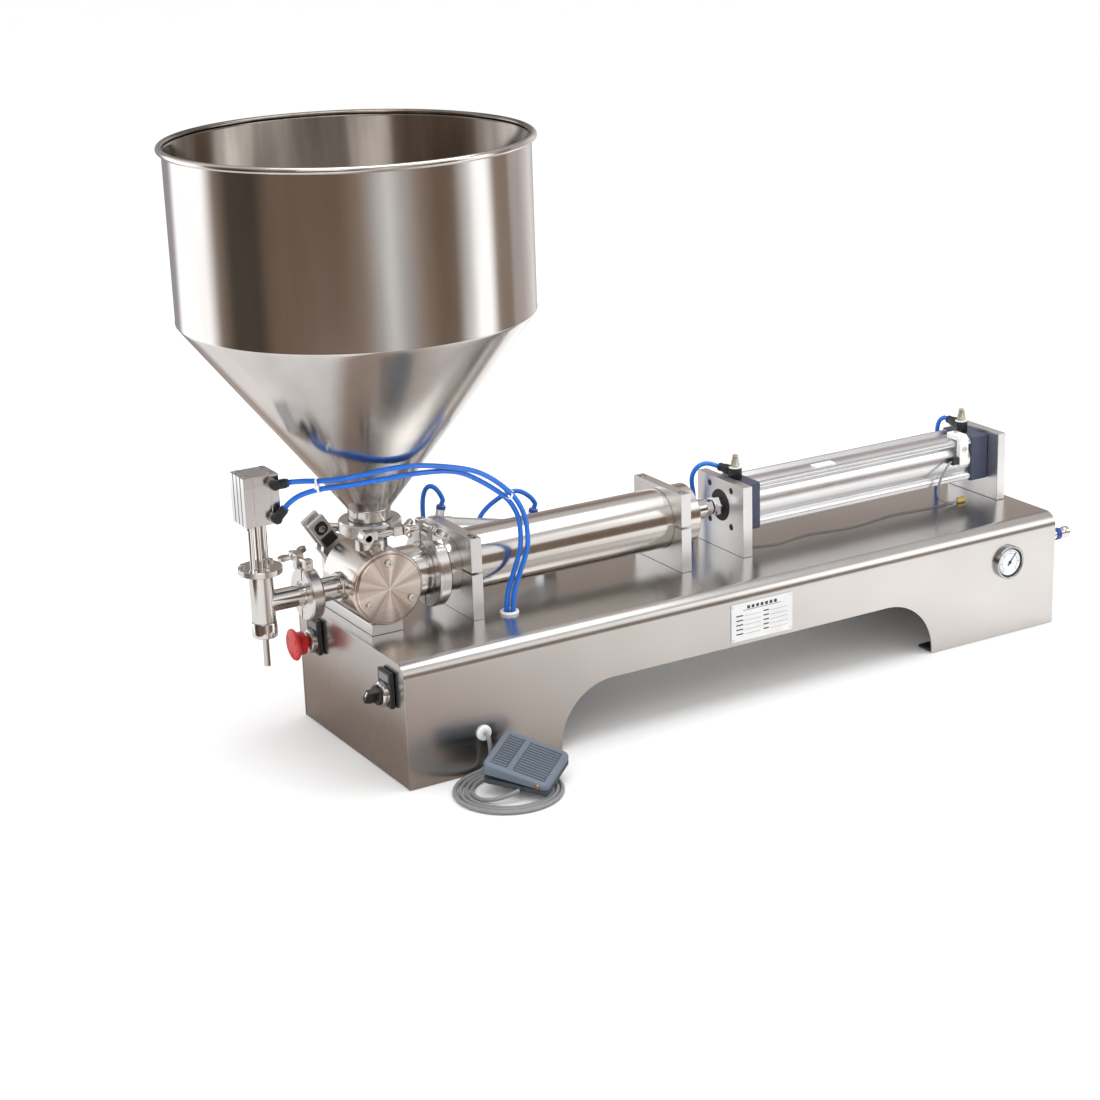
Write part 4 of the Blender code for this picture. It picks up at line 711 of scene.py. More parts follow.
def hoses(mats):
    blue = mats["hose"]
    down = BOX_H - 0.008
    tube("blue_upper", [
        (-0.5507, -0.0265, 0.3495), (-0.5450, -0.0265, 0.3495), (-0.533, -0.035, 0.3505),
        (-0.517, -0.056, 0.3530), (-0.492, -0.077, 0.3585), (-0.4388, -0.0850, 0.3620),
        (-0.386, -0.078, 0.3518), (-0.331, -0.068, 0.3318), (-0.289, -0.062, 0.2986),
        (-0.2714, -0.060, 0.2693), (-0.267, -0.058, 0.2466), (-0.267, -0.057, 0.2262),
        (-0.279, -0.056, 0.1950), (-0.2870, -0.0555, 0.1720), (-0.2890, -0.0555, down)],
         HOSE_R, blue, ("hose_nozzle_upper",))
    tube("blue_lower", [
        (-0.5552, -0.0265, 0.3213), (-0.5513, -0.0265, 0.3252), (-0.541, -0.0330, 0.3345),
        (-0.522, -0.050, 0.3430), (-0.4985, -0.068, 0.3470), (-0.4625, -0.0820, 0.3510),
        (-0.4125, -0.0790, 0.3490), (-0.3656, -0.0665, 0.3395), (-0.333, -0.0600, 0.3235),
        (-0.2935, -0.0565, 0.2935), (-0.277, -0.055, 0.2675), (-0.2735, -0.053, 0.2460),
        (-0.2735, -0.0515, 0.2260), (-0.284, -0.0500, 0.1950), (-0.2925, -0.0500, 0.1720),
        (-0.2950, -0.0500, down)], HOSE_R, blue, ("hose_nozzle_lower",))
    tube("blue_cylinder_front", [
        *flow_mouth("front"), (0.0464, 0.0330, 0.2540), (0.0377, 0.0370, 0.2515), (0.0305, 0.0400, 0.2441),
        (0.0294, 0.0440, 0.2315), (0.0330, 0.0450, 0.2150), (0.0350, 0.0460, 0.1900),
        (0.031, 0.048, 0.170), (0.031, 0.048, down)], HOSE_R, blue, ("hose_cylinder_front",))
    tube("blue_cylinder_rear", [
        *flow_mouth("rear"), (0.4228, 0.0370, 0.2475), (0.4222, 0.0405, 0.2350), (0.4222, 0.0410, 0.2120),
        (0.4230, 0.0410, 0.1850), (0.4235, 0.041, 0.165), (0.4235, 0.041, down)],
         HOSE_R, blue, ("hose_cylinder_rear",))
    (left, above_left), (right, above_right) = actuator_ports()
    tube("blue_actuator_left", [
        left, above_left, (-0.3190, 0.0800, 0.2800), (-0.3245, 0.0880, 0.2710), (-0.3240, 0.0955, 0.2515),
        (-0.3225, 0.0983, 0.2300), (-0.322, 0.0985, 0.190), (-0.322, 0.0985, down)],
         HOSE_R, blue, ("hose_actuator_left",))
    tube("blue_actuator_right", [
        right, above_right, (-0.1960, 0.0770, 0.2487), (-0.2060, 0.0790, 0.2520), (-0.2193, 0.0830, 0.2475),
        (-0.2413, 0.0925, 0.2300), (-0.2515, 0.0980, 0.2080), (-0.254, 0.0985, 0.185),
        (-0.254, 0.0985, down)], HOSE_R, blue, ("hose_actuator_right",))


def flow_mouth(name):
    turn = Euler((0, -FLOW_RISE, FLOW_LEAN[name])).to_matrix()
    start = Vector((FLOW_X[name], 0, FLOW_Z))
    return [start + turn @ Vector((reach, 0, 0)) for reach in (FLOW_REACH + GAP, FLOW_REACH + 0.006)]


def lever_pin():
    return Vector((VALVE_X + LEVER_R * math.cos(LEVER_REST), LEVER_Y,
                   AXIS_Z + LEVER_R * math.sin(LEVER_REST)))


def actuator_frame():
    return Matrix.Translation(lever_pin()) @ Matrix.Rotation(ACTUATOR_TILT, 4, "Y")


def actuator_ports():
    return [[actuator_frame() @ Vector((s, 0, z)) for z in (0.031 + GAP, 0.041)] for s in ACTUATOR_PORTS]


# ---------------------------------------------------------------- base
def bench_profile(inset, foot=0.0):
    half, top, bend = BOX_W / 2 - inset, BOX_H - inset, BOX_BEND - inset
    right = arc(half - bend, top - bend, bend, 0, 90, 14)
    left = [(-y, z) for y, z in reversed(right)]
    return [(half, foot)] + right + left + [(-half, foot)]


def base(mats):
    outer, inner = bench_profile(0), bench_profile(SHEET)
    bm = bmesh.new()
    loops = []
    for x in (LEFT, RIGHT):
        loops.append([[bm.verts.new((x, y, z)) for y, z in outline] for outline in (outer, inner)])
    count = len(outer)
    for k in range(count - 1):
        for side in (0, 1):
            bm.faces.new((loops[0][side][k], loops[0][side][k + 1], loops[1][side][k + 1], loops[1][side][k]))
        for end in (0, 1):
            ring = loops[end]
            bm.faces.new((ring[0][k], ring[0][k + 1], ring[1][k + 1], ring[1][k]))
    for k in (0, count - 1):
        bm.faces.new((loops[0][0][k], loops[0][1][k], loops[1][1][k], loops[1][0][k]))
    shell = piece("bench_sheet", bm, mats["sheet"], MACHINE, ("base_shell",))
    arch = [(ARCH_FROM, -0.01)] + arc(ARCH_FROM + ARCH_R, ARCH_H - ARCH_R, ARCH_R, 180, 90, 24)
    arch += arc(ARCH_TO - ARCH_R, ARCH_H - ARCH_R, ARCH_R, 90, 0, 24) + [(ARCH_TO, -0.01)]
    cut(shell, add_prism(bmesh.new(), arch, "Y", -0.2, 0.2))
    soften(shell, 0.0005, 2)
    for name, x, out in (("bench_end_left", LEFT, -1), ("bench_end_right", RIGHT, 1)):
        outline = bench_profile(SHEET + 0.0002, 0.0004)
        face, back = sorted((x - out * 0.0005, x - out * 0.0025))
        piece(name, add_prism(bmesh.new(), outline, "X", face, back), mats["sheet_end"], MACHINE,
              bevel=0.0004)
    coat("base_pan", mats["sheet"])
    # A rubber pad behind each foot's inner edge
    for x, out in ((ARCH_FROM - 0.012, -1), (ARCH_TO + 0.012, 1)):
        for y in (FRONT + 0.016, -FRONT - 0.016):
            bm = add_box(bmesh.new(), (x - 0.011, y - 0.012, 0.0005), (x + 0.011, y + 0.012, 0.0040))
            piece(f"foot_pad_{'l' if out < 0 else 'r'}_{'f' if y < 0 else 'b'}", bm, mats["rubber"], MACHINE,
                  bevel=0.0006)

    back = FRONT - GAP
    face = back - 0.0008
    bm = add_box(bmesh.new(), (PLATE_LOW[0], face, PLATE_LOW[1]), (PLATE_HIGH[0], back, PLATE_HIGH[1]))
    piece("plate_sheet", bm, mats["plate"], MACHINE, ("nameplate",), bevel=0.0002)
    bm = bmesh.new()
    x0, x1, z1 = PLATE_LOW[0] + 0.007, PLATE_HIGH[0] - 0.007, PLATE_HIGH[1]
    add_box(bm, (x0 + 0.010, face - 0.0001, z1 - 0.0098), (x1 - 0.010, face + 0.0003, z1 - 0.0092))
    for row in range(5):
        z = z1 - 0.0165 - row * 0.0058
        add_box(bm, (x0, face - 0.0001, z), (x0 + 0.010, face + 0.0003, z + 0.0016))
        add_box(bm, (x0 + 0.012, face - 0.0001, z - 0.0004), (x0 + 0.036, face + 0.0003, z - 0.0001))
        add_box(bm, (x0 + 0.040, face - 0.0001, z), (x0 + 0.048, face + 0.0003, z + 0.0016))
        add_box(bm, (x0 + 0.050, face - 0.0001, z - 0.0004), (x1, face + 0.0003, z - 0.0001))
    for k in range(7):
        x = x0 + 0.016 + k * 0.0066
        add_box(bm, (x, face - 0.0001, z1 - 0.0082), (x + 0.0042, face + 0.0003, z1 - 0.0042))
    piece("plate_lines", bm, mats["ink"], MACHINE)
    for k, (x, z) in enumerate(((PLATE_LOW[0] + 0.003, PLATE_LOW[1] + 0.003),
                                (PLATE_HIGH[0] - 0.003, PLATE_LOW[1] + 0.003),
                                (PLATE_LOW[0] + 0.003, z1 - 0.003), (PLATE_HIGH[0] - 0.003, z1 - 0.003))):
        head = [(0, 0), (0.0016, 0), (0.0013, 0.0006), (0, 0.0009)]
        bm = add_turned(bmesh.new(), head, 20)
        piece(f"plate_rivet_{k}", bm, mats["chrome"], MACHINE, (), (x, face, z), to_axis("-Y"))

    top = BOX_H + GAP
    ring = [(0.0112, top), (0.0112, top + 0.0014)] + arc(0.0098, top + 0.0016, 0.0014, 10, 90, 5)
    ring += [(0.0084, top + 0.0030), (0.0077, top + 0.0024), (0.0077, top)]
    turned("hose_bush", ring, mats["white"], "Z", (*HOSE_GROMMET, 0),
           replaces=("hose_grommet",))
    # Painted shadow: a near-black cylinder down inside the bush, where the hose's hole is in shade.
    inside = [(0, top - 0.012), (0.0086, top - 0.012), (0.0086, top - 0.0021), (0.0, top - 0.0021)]
    turned("hose_bush_inner_shadow", inside, mats["dark_slot"], "Z", (*HOSE_GROMMET, 0))
    eye = [(0, 0.0022), (0.0040, 0.0022), (0.0046, 0.0031)] + arc(0.0070, 0.0009, 0.0023, 95, 0,
                                                                  6) + [(0.0093, 0), (0, 0)]
    flip = to_axis("-Y")
    piece("cable_bush", add_turned(bmesh.new(), eye, 64), mats["white"], MACHINE, ("cable_grommet",),
          (GROMMET[0], FRONT - GAP, GROMMET[1]), flip)


# ---------------------------------------------------------------- hopper
def hopper(mats):
    bead = arc(RIM_R - RIM_BEAD, RIM_Z, RIM_BEAD, -70, 215, 16)
    foot = HOPPER_CLAMP_Z + 0.0002
    outside = [(0.032, foot), (0.032, foot + 0.0028), (0.0300, foot + FERRULE_T), (NECK_R, foot + 0.0062),
               (NECK_R, NECK_Z - 0.002), (NECK_R + 0.0012, NECK_Z + 0.001),
               (NECK_R + 0.0060, NECK_Z + 0.0068), (HOPPER_R - 0.0065, WELD_Z - 0.0074),
               (HOPPER_R - 0.0016, WELD_Z - 0.0010)]
    weld = [(HOPPER_R + 0.0002, WELD_Z + 0.0016), (HOPPER_R + 0.0004, WELD_Z + 0.0026),
            (HOPPER_R, WELD_Z + 0.0036), (HOPPER_R, RIM_Z - 0.0036)]
    inside = [(HOPPER_R - HOPPER_WALL, RIM_Z - 0.004), (HOPPER_R - HOPPER_WALL, WELD_Z + 0.004),
              (HOPPER_R - HOPPER_WALL - 0.0040, WELD_Z - 0.0038), (NECK_R + 0.004, NECK_Z + 0.0065),
              (NECK_R - HOPPER_WALL, NECK_Z), (NECK_R - HOPPER_WALL, foot)]
    turned("hopper_skin", outside + weld + bead + inside, mats["hopper"], "Z", (VALVE_X, 0, 0),
           replaces=("hopper",), sides=192)
    ring = arc(NECK_R + 0.0002, NECK_Z - 0.0004, 0.0008, 0, 315, 7)
    turned("neck_weld", ring, mats["cast"], "Z", (VALVE_X, 0, 0))


def wing_nut(name, node, body, at, axis, spin, mats, span, outward=1):
    """Wing nut with a turned boss and two swept wings, round the bolt."""
    boss = [(0.0034, 0), (0.0062, 0), (0.0066, 0.0010), (0.0060, 0.0062), (0.0052, 0.0080), (0.0034, 0.0080)]
    flip = Matrix.Rotation(0 if outward > 0 else math.pi, 3, "X")
    turn = Matrix.Rotation(math.radians(spin), 3, axis) @ flip @ to_axis(axis)
    obj = piece(name, add_turned(bmesh.new(), boss, 40), mats["cast"], body, (node,), at, turn)
    for side in (1, -1):
        rounded = arc(span * 0.72, 0.0100, span * 0.28, -60, 130, 12)
        outline = [(0.0050, 0.0010), (span * 0.50, 0.0028)] + rounded + [(span * 0.42, 0.0120),
                                                                         (0.0050, 0.0074)]
        outline = [(side * x, z) for x, z in outline]
        cut(obj, add_prism(bmesh.new(), outline, "Y", -0.0024, 0.0024), "UNION")
        slot = arc(0, 0, 1.0, 0, 360, 18)[:-1]
        slot = [(side * (span * 0.70 + 0.0034 * x + 0.0006 * z), 0.0098 + 0.0024 * z) for x, z in slot]
        cut(obj, add_prism(bmesh.new(), slot, "Y", -0.004, 0.004))
    soften(obj, 0.0005, 2)
    return obj


def band(name, node, at, axis, radius, width, lip, mats, split):
    """Heavy band clamp with sloped shoulders, cut in two halves."""
    half = width / 2
    profile = [(radius, -half + 0.0022), (radius, half - 0.0022), (radius - 0.0016, half), (lip, half),
               (lip, 0.0059), (radius - 0.0045, 0.0050), (radius - 0.0045, -0.0050), (lip, -0.0059),
               (lip, -half), (radius - 0.0016, -half)]
    ring = turned(name, profile, mats["cast"], axis, at, replaces=(node,), sides=96)
    size = 0.0012
    low, high = (0.55 * radius, -size, -0.03), (1.2 * radius, size, 0.03)
    for angle in split:
        tool = add_box(bmesh.new(), low, high)
        bmesh.ops.rotate(tool, verts=tool.verts, matrix=Matrix.Rotation(math.radians(angle), 3, "Z"))
        cut(ring, tool)
    soften(ring, 0.0006, 2)
    return ring


def block(name, low, high, mat, bevel=0.0008, body=MACHINE, replaces=()):
    return piece(name, add_box(bmesh.new(), low, high), mat, body, replaces, bevel=bevel, segments=3)


def bolt(name, low, high, axis, at, mats):
    bm = add_rod(bmesh.new(), BOLT_R, low, high, 40)
    piece(name, bm, mats["polished"], MACHINE, (), at, to_axis(axis), 0.0003)


def clamps(mats):
    z, y = HOPPER_CLAMP_Z, -0.0410
    x = VALVE_X
    band("clamp_hopper_ring", "hopper_clamp", (x, 0, z), "Z", 0.0365, 0.0155, 0.0268, mats, (-76, 104))
    block("clamp_hopper_lug_a", (x - 0.0300, y - 0.0040, z - 0.0055), (x - 0.0120, -0.0318, z + 0.0055),
          mats["cast"], 0.0015)
    barrel = [(0, 0.0040), (0, -0.0040), (0.0042, -0.0040), (0.0042, -0.0090), (0.0068, -0.0090),
              (0.0075, -0.0082), (0.0075, 0.0040)]
    turned("clamp_hopper_barrel", barrel, mats["cast"], "Y", (x - 0.0260, y, z))
    block("clamp_hopper_lug_b", (x + 0.0080, y - 0.0045, z - 0.0055), (x + 0.0195, -0.0318, z + 0.0055),
          mats["cast"], 0.0015)
    bolt("clamp_hopper_bolt", -0.014, 0.036, "X", (x, y, z), mats)
    wing_nut("clamp_hopper_nut", "hopper_wing", "hopper_wing", (x + 0.0200, y, z), "X", 15, mats, 0.012)

    x, top = OUTLET_CLAMP_X, AXIS_Z + 0.0366
    band("clamp_outlet_ring", "outlet_clamp", (x, 0, AXIS_Z), "X", 0.031, 0.0155, 0.016, mats, (186, 6))
    block("clamp_outlet_lug_a", (x - 0.005, -0.009, AXIS_Z + 0.0282), (x + 0.005, 0.001, top + 0.0055),
          mats["cast"], 0.0015)
    block("clamp_outlet_lug_b", (x - 0.005, 0.016, AXIS_Z + 0.0228), (x + 0.005, 0.0275, top + 0.0055),
          mats["cast"], 0.0015)
    bolt("clamp_outlet_bolt", -0.013, 0.044, "Y", (x, 0, top), mats)
    wing_nut("clamp_outlet_nut", "outlet_wing", "outlet_wing", (x, 0.0280, top), "Y", -14, mats, 0.0180)

    x, top = PRODUCT_CLAMP_X, AXIS_Z + 0.0516
    band("clamp_product_ring", "product_clamp", (x, 0, AXIS_Z), "X", 0.046, 0.016, 0.0325, mats, (176, -4))
    block("clamp_product_lug_a", (x - 0.0055, 0.008, AXIS_Z + 0.0412), (x + 0.0055, 0.020, top + 0.0055),
          mats["cast"], 0.0015)
    block("clamp_product_lug_b", (x - 0.0055, -0.0235, AXIS_Z + 0.0378), (x + 0.0055, -0.013, top + 0.0055),
          mats["cast"], 0.0015)
    bolt("clamp_product_bolt", -0.040, 0.025, "Y", (x, 0, top), mats)
    wing_nut("clamp_product_nut", "product_wing", "product_wing", (x, -0.0240, top), "Y", 35, mats, 0.0140,
             -1)


# ---------------------------------------------------------------- valve
def valve(mats):
    at = (VALVE_X, 0, AXIS_Z)
    drum = [(0, 0.0448), (0.0410, 0.0448), (0.0430, 0.0425), (0.0430, -0.0300), (0.0405, -0.0314),
            (0.0300, -0.0314), (0.0300, 0.0372), (0, 0.0372)]
    body = turned("valve_drum", drum, mats["turned"], "Y", at, replaces=("valve_body",), sides=128)
    frame_y = to_axis("Y").to_4x4().inverted()
    for turn, radius, start, stop in ((90, 0.0310, 0.020, 0.060), (-90, 0.0165, 0.020, 0.0440),
                                      (0, 0.0190, 0.018, 0.0550)):
        matrix = frame_y @ Matrix.Rotation(math.radians(turn), 4, "Y")
        cut(body, moved(add_rod(bmesh.new(), radius, start, stop, 96), matrix), "UNION")
    cut(body, add_rod(bmesh.new(), 0.0299, -0.040, 0.0370, 96))
    soften(body, 0.0005, 2)

    neck_top = HOPPER_CLAMP_Z - 0.0002
    turned("valve_neck", [(0.0190, AXIS_Z + 0.050), (0.0190, neck_top - 0.0068),
                          (0.0300, neck_top - FERRULE_T), (0.0320, neck_top - 0.0028), (0.0320, neck_top),
                          (0.0165, neck_top), (0.0165, AXIS_Z + 0.050)], mats["polished"], "Z",
           (VALVE_X, 0, 0), bevel=0.0003)
    face = PRODUCT_CLAMP_X - 0.0002
    turned("valve_side_neck", [(0.0310, VALVE_X + 0.055), (0.0310, face - 0.0075), (0.0360, face - FERRULE_T),
                               (FERRULE_L, face - 0.0028), (FERRULE_L, face), (0.0260, face),
                               (0.0260, VALVE_X + 0.055)], mats["polished"], "X", (0, 0, AXIS_Z),
           bevel=0.0003)
    turned("valve_outlet_boss", [(0.0167, -0.4873), (0.0172, -0.4860), (0.0172, -0.4800), (0.0166, -0.4790),
                                 (0.0166, -0.4700), (0.0126, -0.4700), (0.0126, -0.4873)], mats["polished"],
           "X", (0, 0, AXIS_Z))

    disc = [(0, -0.0422), (0.0395, -0.0422), (0.0405, -0.0414), (0.0405, -0.0388), (0.0428, -0.0388),
            (0.0440, -0.0378), (0.0440, -0.0322), (0, -0.0322)]
    turned("valve_lid", disc, mats["cover"], "Y", at, replaces=("valve_cover",), sides=128)
    centre = [(0, -0.0004), (0.0022, -0.0004), (0.0016, 0.0006), (0, 0.0006)]
    turned("valve_lid_centre", centre, mats["polished"], "Y", (VALVE_X, -0.0422, AXIS_Z))
    for k, angle in enumerate((90, 210, 330)):
        x = VALVE_X + 0.031 * math.cos(math.radians(angle))
        z = AXIS_Z + 0.031 * math.sin(math.radians(angle))
        screw(f"valve_lid_screw_{k}", (x, -0.0421, z), "-Y", mats, radius=0.0044, height=0.0030)

    coat("valve_pedestal", mats["alu"], 0.0010)
    for k, (x, y) in enumerate(((-0.0155, -0.024), (0.0155, -0.024))):
        screw(f"pedestal_screw_{k}", (VALVE_X + x, y, AXIS_Z - 0.0434), "Z", mats, radius=0.0030,
              height=0.0012)
    coat("valve_rotor", mats["turned"])


def lever(mats):
    """Ribbed block on the spindle, a slotted fork with a bright pin, and painted shade of the slot: a dark
    plate round the pin and a black block on the front cheek.
    """
    front, back = LEVER_Y - 0.012, LEVER_Y + 0.012
    turn = Matrix.Rotation(math.pi / 2 - LEVER_REST, 3, "Y")
    at = (VALVE_X, 0, AXIS_Z)
    hub_outline = [(-0.0150, -0.0130), (-0.0150, 0.0360), (-0.0118, 0.0398), (0.0118, 0.0398),
                   (0.0150, 0.0360), (0.0150, -0.0130)]
    hub = piece("lever_block", add_prism(bmesh.new(), hub_outline, "Y", front, back), mats["anodised"],
                "valve", ("valve_lever",), at, turn)
    for k in range(5):
        x = -0.0110 + k * 0.0055
        for y in (front - 0.001, back - 0.0009):
            cut(hub, add_box(bmesh.new(), (x - 0.0010, y, -0.0080), (x + 0.0010, y + 0.0019, 0.0330)))
    lying = Matrix.Rotation(math.pi / 2, 4, "X")
    cut(hub, moved(add_rod(bmesh.new(), 0.0083, -0.10, -0.05, 48), lying))
    cut(hub, add_box(bmesh.new(), (-0.02, LEVER_Y - 0.0056, LEVER_SLOT), (0.02, LEVER_Y + 0.0056, 0.05)))
    soften(hub, 0.0006, 2)
    fork_outline = [(-0.0115, 0.0401), (-0.0115, LEVER_R + 0.0130), (0.0115, LEVER_R + 0.0130),
                    (0.0115, 0.0401)]
    fork = piece("lever_fork", add_prism(bmesh.new(), fork_outline, "Y", front, back), mats["alu"], "valve",
                 (), at, turn)
    slot_low, slot_high = (-0.02, LEVER_Y - 0.0056, 0.0395), (0.02, LEVER_Y + 0.0056, LEVER_R + 0.02)
    cut(fork, add_box(bmesh.new(), slot_low, slot_high))
    soften(fork, 0.0007, 2)
    pin = add_rod(bmesh.new(), 0.0040, -LEVER_Y - 0.0140, -LEVER_Y + 0.0140, 40)
    moved(pin, Matrix.Translation((0, 0, LEVER_R)) @ lying)
    piece("lever_pin", pin, mats["chrome"], "valve", (), at, turn, 0.0005)
    # Painted shade of the slot: a dark plate round the pin on the front cheek.
    recess = add_prism(bmesh.new(), rounded_plan(-0.0078, LEVER_R - 0.0072, 0.0078, LEVER_R + 0.0088, 0.0060),
                       "Y", front - 0.0003, front + 0.0002)
    piece("lever_slot_shade", recess, mats["dark_slot"], "valve", (), at, turn)
    # Painted shade of the slot's deeper part: a black block on the front cheek between the pin and the hub.
    cap = add_box(bmesh.new(), (-0.0090, front - 0.0012, 0.0370), (0.0090, front + 0.0004, 0.0500))
    piece("lever_slot_shadow", cap, mats["black"], "valve", (), at, turn, 0.0005)


def actuator(mats):
    coat("actuator_cylinder", mats["anodised"], 0.0004)
    coat("actuator_rod", mats["polished"])
    turn = Matrix.Rotation(ACTUATOR_TILT, 3, "Y")
    for k, s in enumerate(ACTUATOR_PORTS):
        bm = add_turned(bmesh.new(), [(0.0031, 0.026), (0.0058, 0.026), (0.0058, 0.0300), (0.0050, 0.0312),
                                      (0.0031, 0.0312)], 32)
        bmesh.ops.translate(bm, verts=bm.verts, vec=(s, 0, 0))
        piece(f"actuator_collar_{k}", bm, mats["collar"], MACHINE, (), lever_pin(), turn)


# ---------------------------------------------------------------- outlet and nozzle
def outlet(mats):
    face = OUTLET_CLAMP_X + 0.0002
    turned("outlet_pipe", [(0.0140, -0.4876), (0.0140, face + 0.0070), (0.0232, face + FERRULE_T),
                           (FERRULE_S, face + 0.0028), (FERRULE_S, face), (0.0105, face), (0.0105, -0.4876)],
           mats["polished"], "X", (0, 0, AXIS_Z), replaces=("outlet_tube",))
    bm = add_rod(bmesh.new(), 0.0135, TEE_BOTTOM + 0.0003, TEE_TOP, 96)
    tee = piece("tee_pipe", bm, mats["polished"], MACHINE, ("nozzle_tee",), (NOZZLE_X, 0, 0))
    across = Matrix.Translation((0, 0, AXIS_Z)) @ Matrix.Rotation(math.pi / 2, 4, "Y")
    cut(tee, moved(add_rod(bmesh.new(), 0.01225, 0.0, 0.0480, 96), across), "UNION")
    cut(tee, add_rod(bmesh.new(), 0.0105, TEE_BOTTOM - 0.01, TEE_TOP + 0.01, 64))
    soften(tee, 0.0004, 2)
    face = OUTLET_CLAMP_X - 0.0002
    turned("tee_ferrule", [(0.01225, face - 0.0090), (0.0130, face - 0.0070), (0.0232, face - FERRULE_T),
                           (FERRULE_S, face - 0.0028), (FERRULE_S, face), (0.0095, face),
                           (0.0095, face - 0.0090)], mats["polished"], "X", (0, 0, AXIS_Z))
    collar = TEE_BOTTOM - GAP
    tip = [(0.0138, collar), (0.01435, collar - 0.0008), (0.01435, 0.1683), (0.0136, 0.1675),
           (0.0042, 0.1660), (0.0036, 0.1650), (0.0036, TIP_Z + 0.0003), (0.0034, TIP_Z), (0.0025, TIP_Z),
           (0.0025, collar)]
    turned("tip_pipe", tip, mats["polished"], "Z", (NOZZLE_X, 0, 0), replaces=("nozzle_tip",))

    disc = [(0.0245, 0.2433), (0.0250, 0.2438), (0.0250, 0.2498), (0.0245, 0.2503), (0.0043, 0.2503),
            (0.0043, 0.2433)]
    turned("flange_disc", disc, mats["turned"], "Z", (NOZZLE_X, 0, 0),
           replaces=("nozzle_flange",))
    for k, (x, y, radius) in enumerate(((-0.0145, -0.0145, 0.0032), (0.0130, 0.0145, 0.0038))):
        post = [(0, 0.2500), (radius + 0.0018, 0.2500), (radius + 0.0018, 0.2530), (radius, 0.2538),
                (radius, 0.2990), (radius + 0.0012, 0.2998), (radius + 0.0012, 0.3027), (0, 0.3027)]
        turned(f"flange_post_{k}", post, mats["chrome"], "Z", (NOZZLE_X + x, y, 0), sides=48)
    for k, angle in enumerate((150, 270, 30)):
        x, y = 0.0195 * math.cos(math.radians(angle)), 0.0195 * math.sin(math.radians(angle))
        screw(f"flange_screw_{k}", (NOZZLE_X + x, y, 0.2502), "Z", mats, radius=0.0034, height=0.0034)
    plunger = [(0, 0.1866), (0.0080, 0.1866), (0.0092, 0.190), (0.0092, 0.199), (0.0040, 0.204),
               (0.0040, 0.328), (0, 0.328)]
    turned("plunger_rod", plunger, mats["polished"], "Z", (NOZZLE_X, 0, 0), "nozzle_plunger",
           ("nozzle_plunger",), 48)

    low, high = NOZZLE_BLOCK
    outline = [(NOZZLE_X - 0.0205, -0.019), (NOZZLE_X + 0.0215, -0.019), (NOZZLE_X + 0.0215, 0.019),
               (NOZZLE_X - 0.0205, 0.019)]
    case = piece("pinch_block", add_prism(bmesh.new(), outline, "Z", low, high), mats["bright"], MACHINE,
                 ("nozzle_cylinder",))
    for y in (-0.0095, 0.0, 0.0095):
        cut(case, add_box(bmesh.new(), (NOZZLE_X - 0.03, y - 0.0013, low - 0.01),
                          (NOZZLE_X - 0.0188, y + 0.0013, high + 0.01)))
    for x in (-0.010, 0.011):
        cut(case, add_box(bmesh.new(), (NOZZLE_X + x - 0.0013, -0.03, low - 0.01),
                          (NOZZLE_X + x + 0.0013, -0.0178, high + 0.01)))
    cut(case, add_box(bmesh.new(), (NOZZLE_X - 0.05, -0.05, high - 0.0105),
                      (NOZZLE_X + 0.05, -0.0186, high - 0.0100)))
    cut(case, add_rod(bmesh.new(), 0.0048, low - 0.01, high - 0.012, 40,
                      Matrix.Translation((NOZZLE_X, 0, 0))))
    soften(case, 0.0012, 3)
    for k, (x, y) in enumerate(((-0.014, -0.013), (0.015, -0.013), (-0.014, 0.013), (0.015, 0.013))):
        screw(f"pinch_screw_{k}", (NOZZLE_X + x, y, high - 0.0004), "Z", mats, radius=0.0030, height=0.0018)
    elbow("elbow_upper", (NOZZLE_X + 0.013, -0.0190, 0.3495), (1, 0, 0), 0.0150, mats)
    elbow("elbow_lower", (NOZZLE_X + 0.013, -0.0190, 0.3105), (0.7071, 0, 0.7071), 0.0150, mats)


def elbow(name, at, direction, reach, mats):
    """Push-in elbow: a metal hexagon, a black swivel body and a coloured release collar."""
    at, direction = Vector(at), Vector(direction)
    flip = to_axis("-Y")
    piece(f"{name}_nut", add_rod(bmesh.new(), 0.0062, -0.0004, 0.0026, 6), mats["brass"], MACHINE,
          (), at, flip, 0.0003)
    stem = [(0, 0.0024), (0.0052, 0.0024), (0.0056, 0.0034), (0.0056, 0.0105), (0.0046, 0.0128), (0, 0.0132)]
    piece(f"{name}_stem", add_turned(bmesh.new(), stem, 48), mats["black"], MACHINE, (), at, flip)
    turn = direction.to_track_quat("Z", "Y").to_matrix()
    start = at + Vector((0, -0.0075, 0))
    arm = [(0, 0.0), (0.0046, 0.0), (0.0054, 0.0010), (0.0056, reach - 0.0022), (0.0050, reach - 0.0012),
           (0, reach - 0.0012)]
    piece(f"{name}_arm", add_turned(bmesh.new(), arm, 48), mats["black"], MACHINE, (), start, turn)
    ring = [(0.0031, reach - 0.0016), (0.0046, reach - 0.0016), (0.0049, reach - 0.0006),
            (0.0049, reach + 0.0010), (0.0031, reach + 0.0010)]
    piece(f"{name}_collar", add_turned(bmesh.new(), ring, 48), mats["collar"], MACHINE, (), start,
          turn)


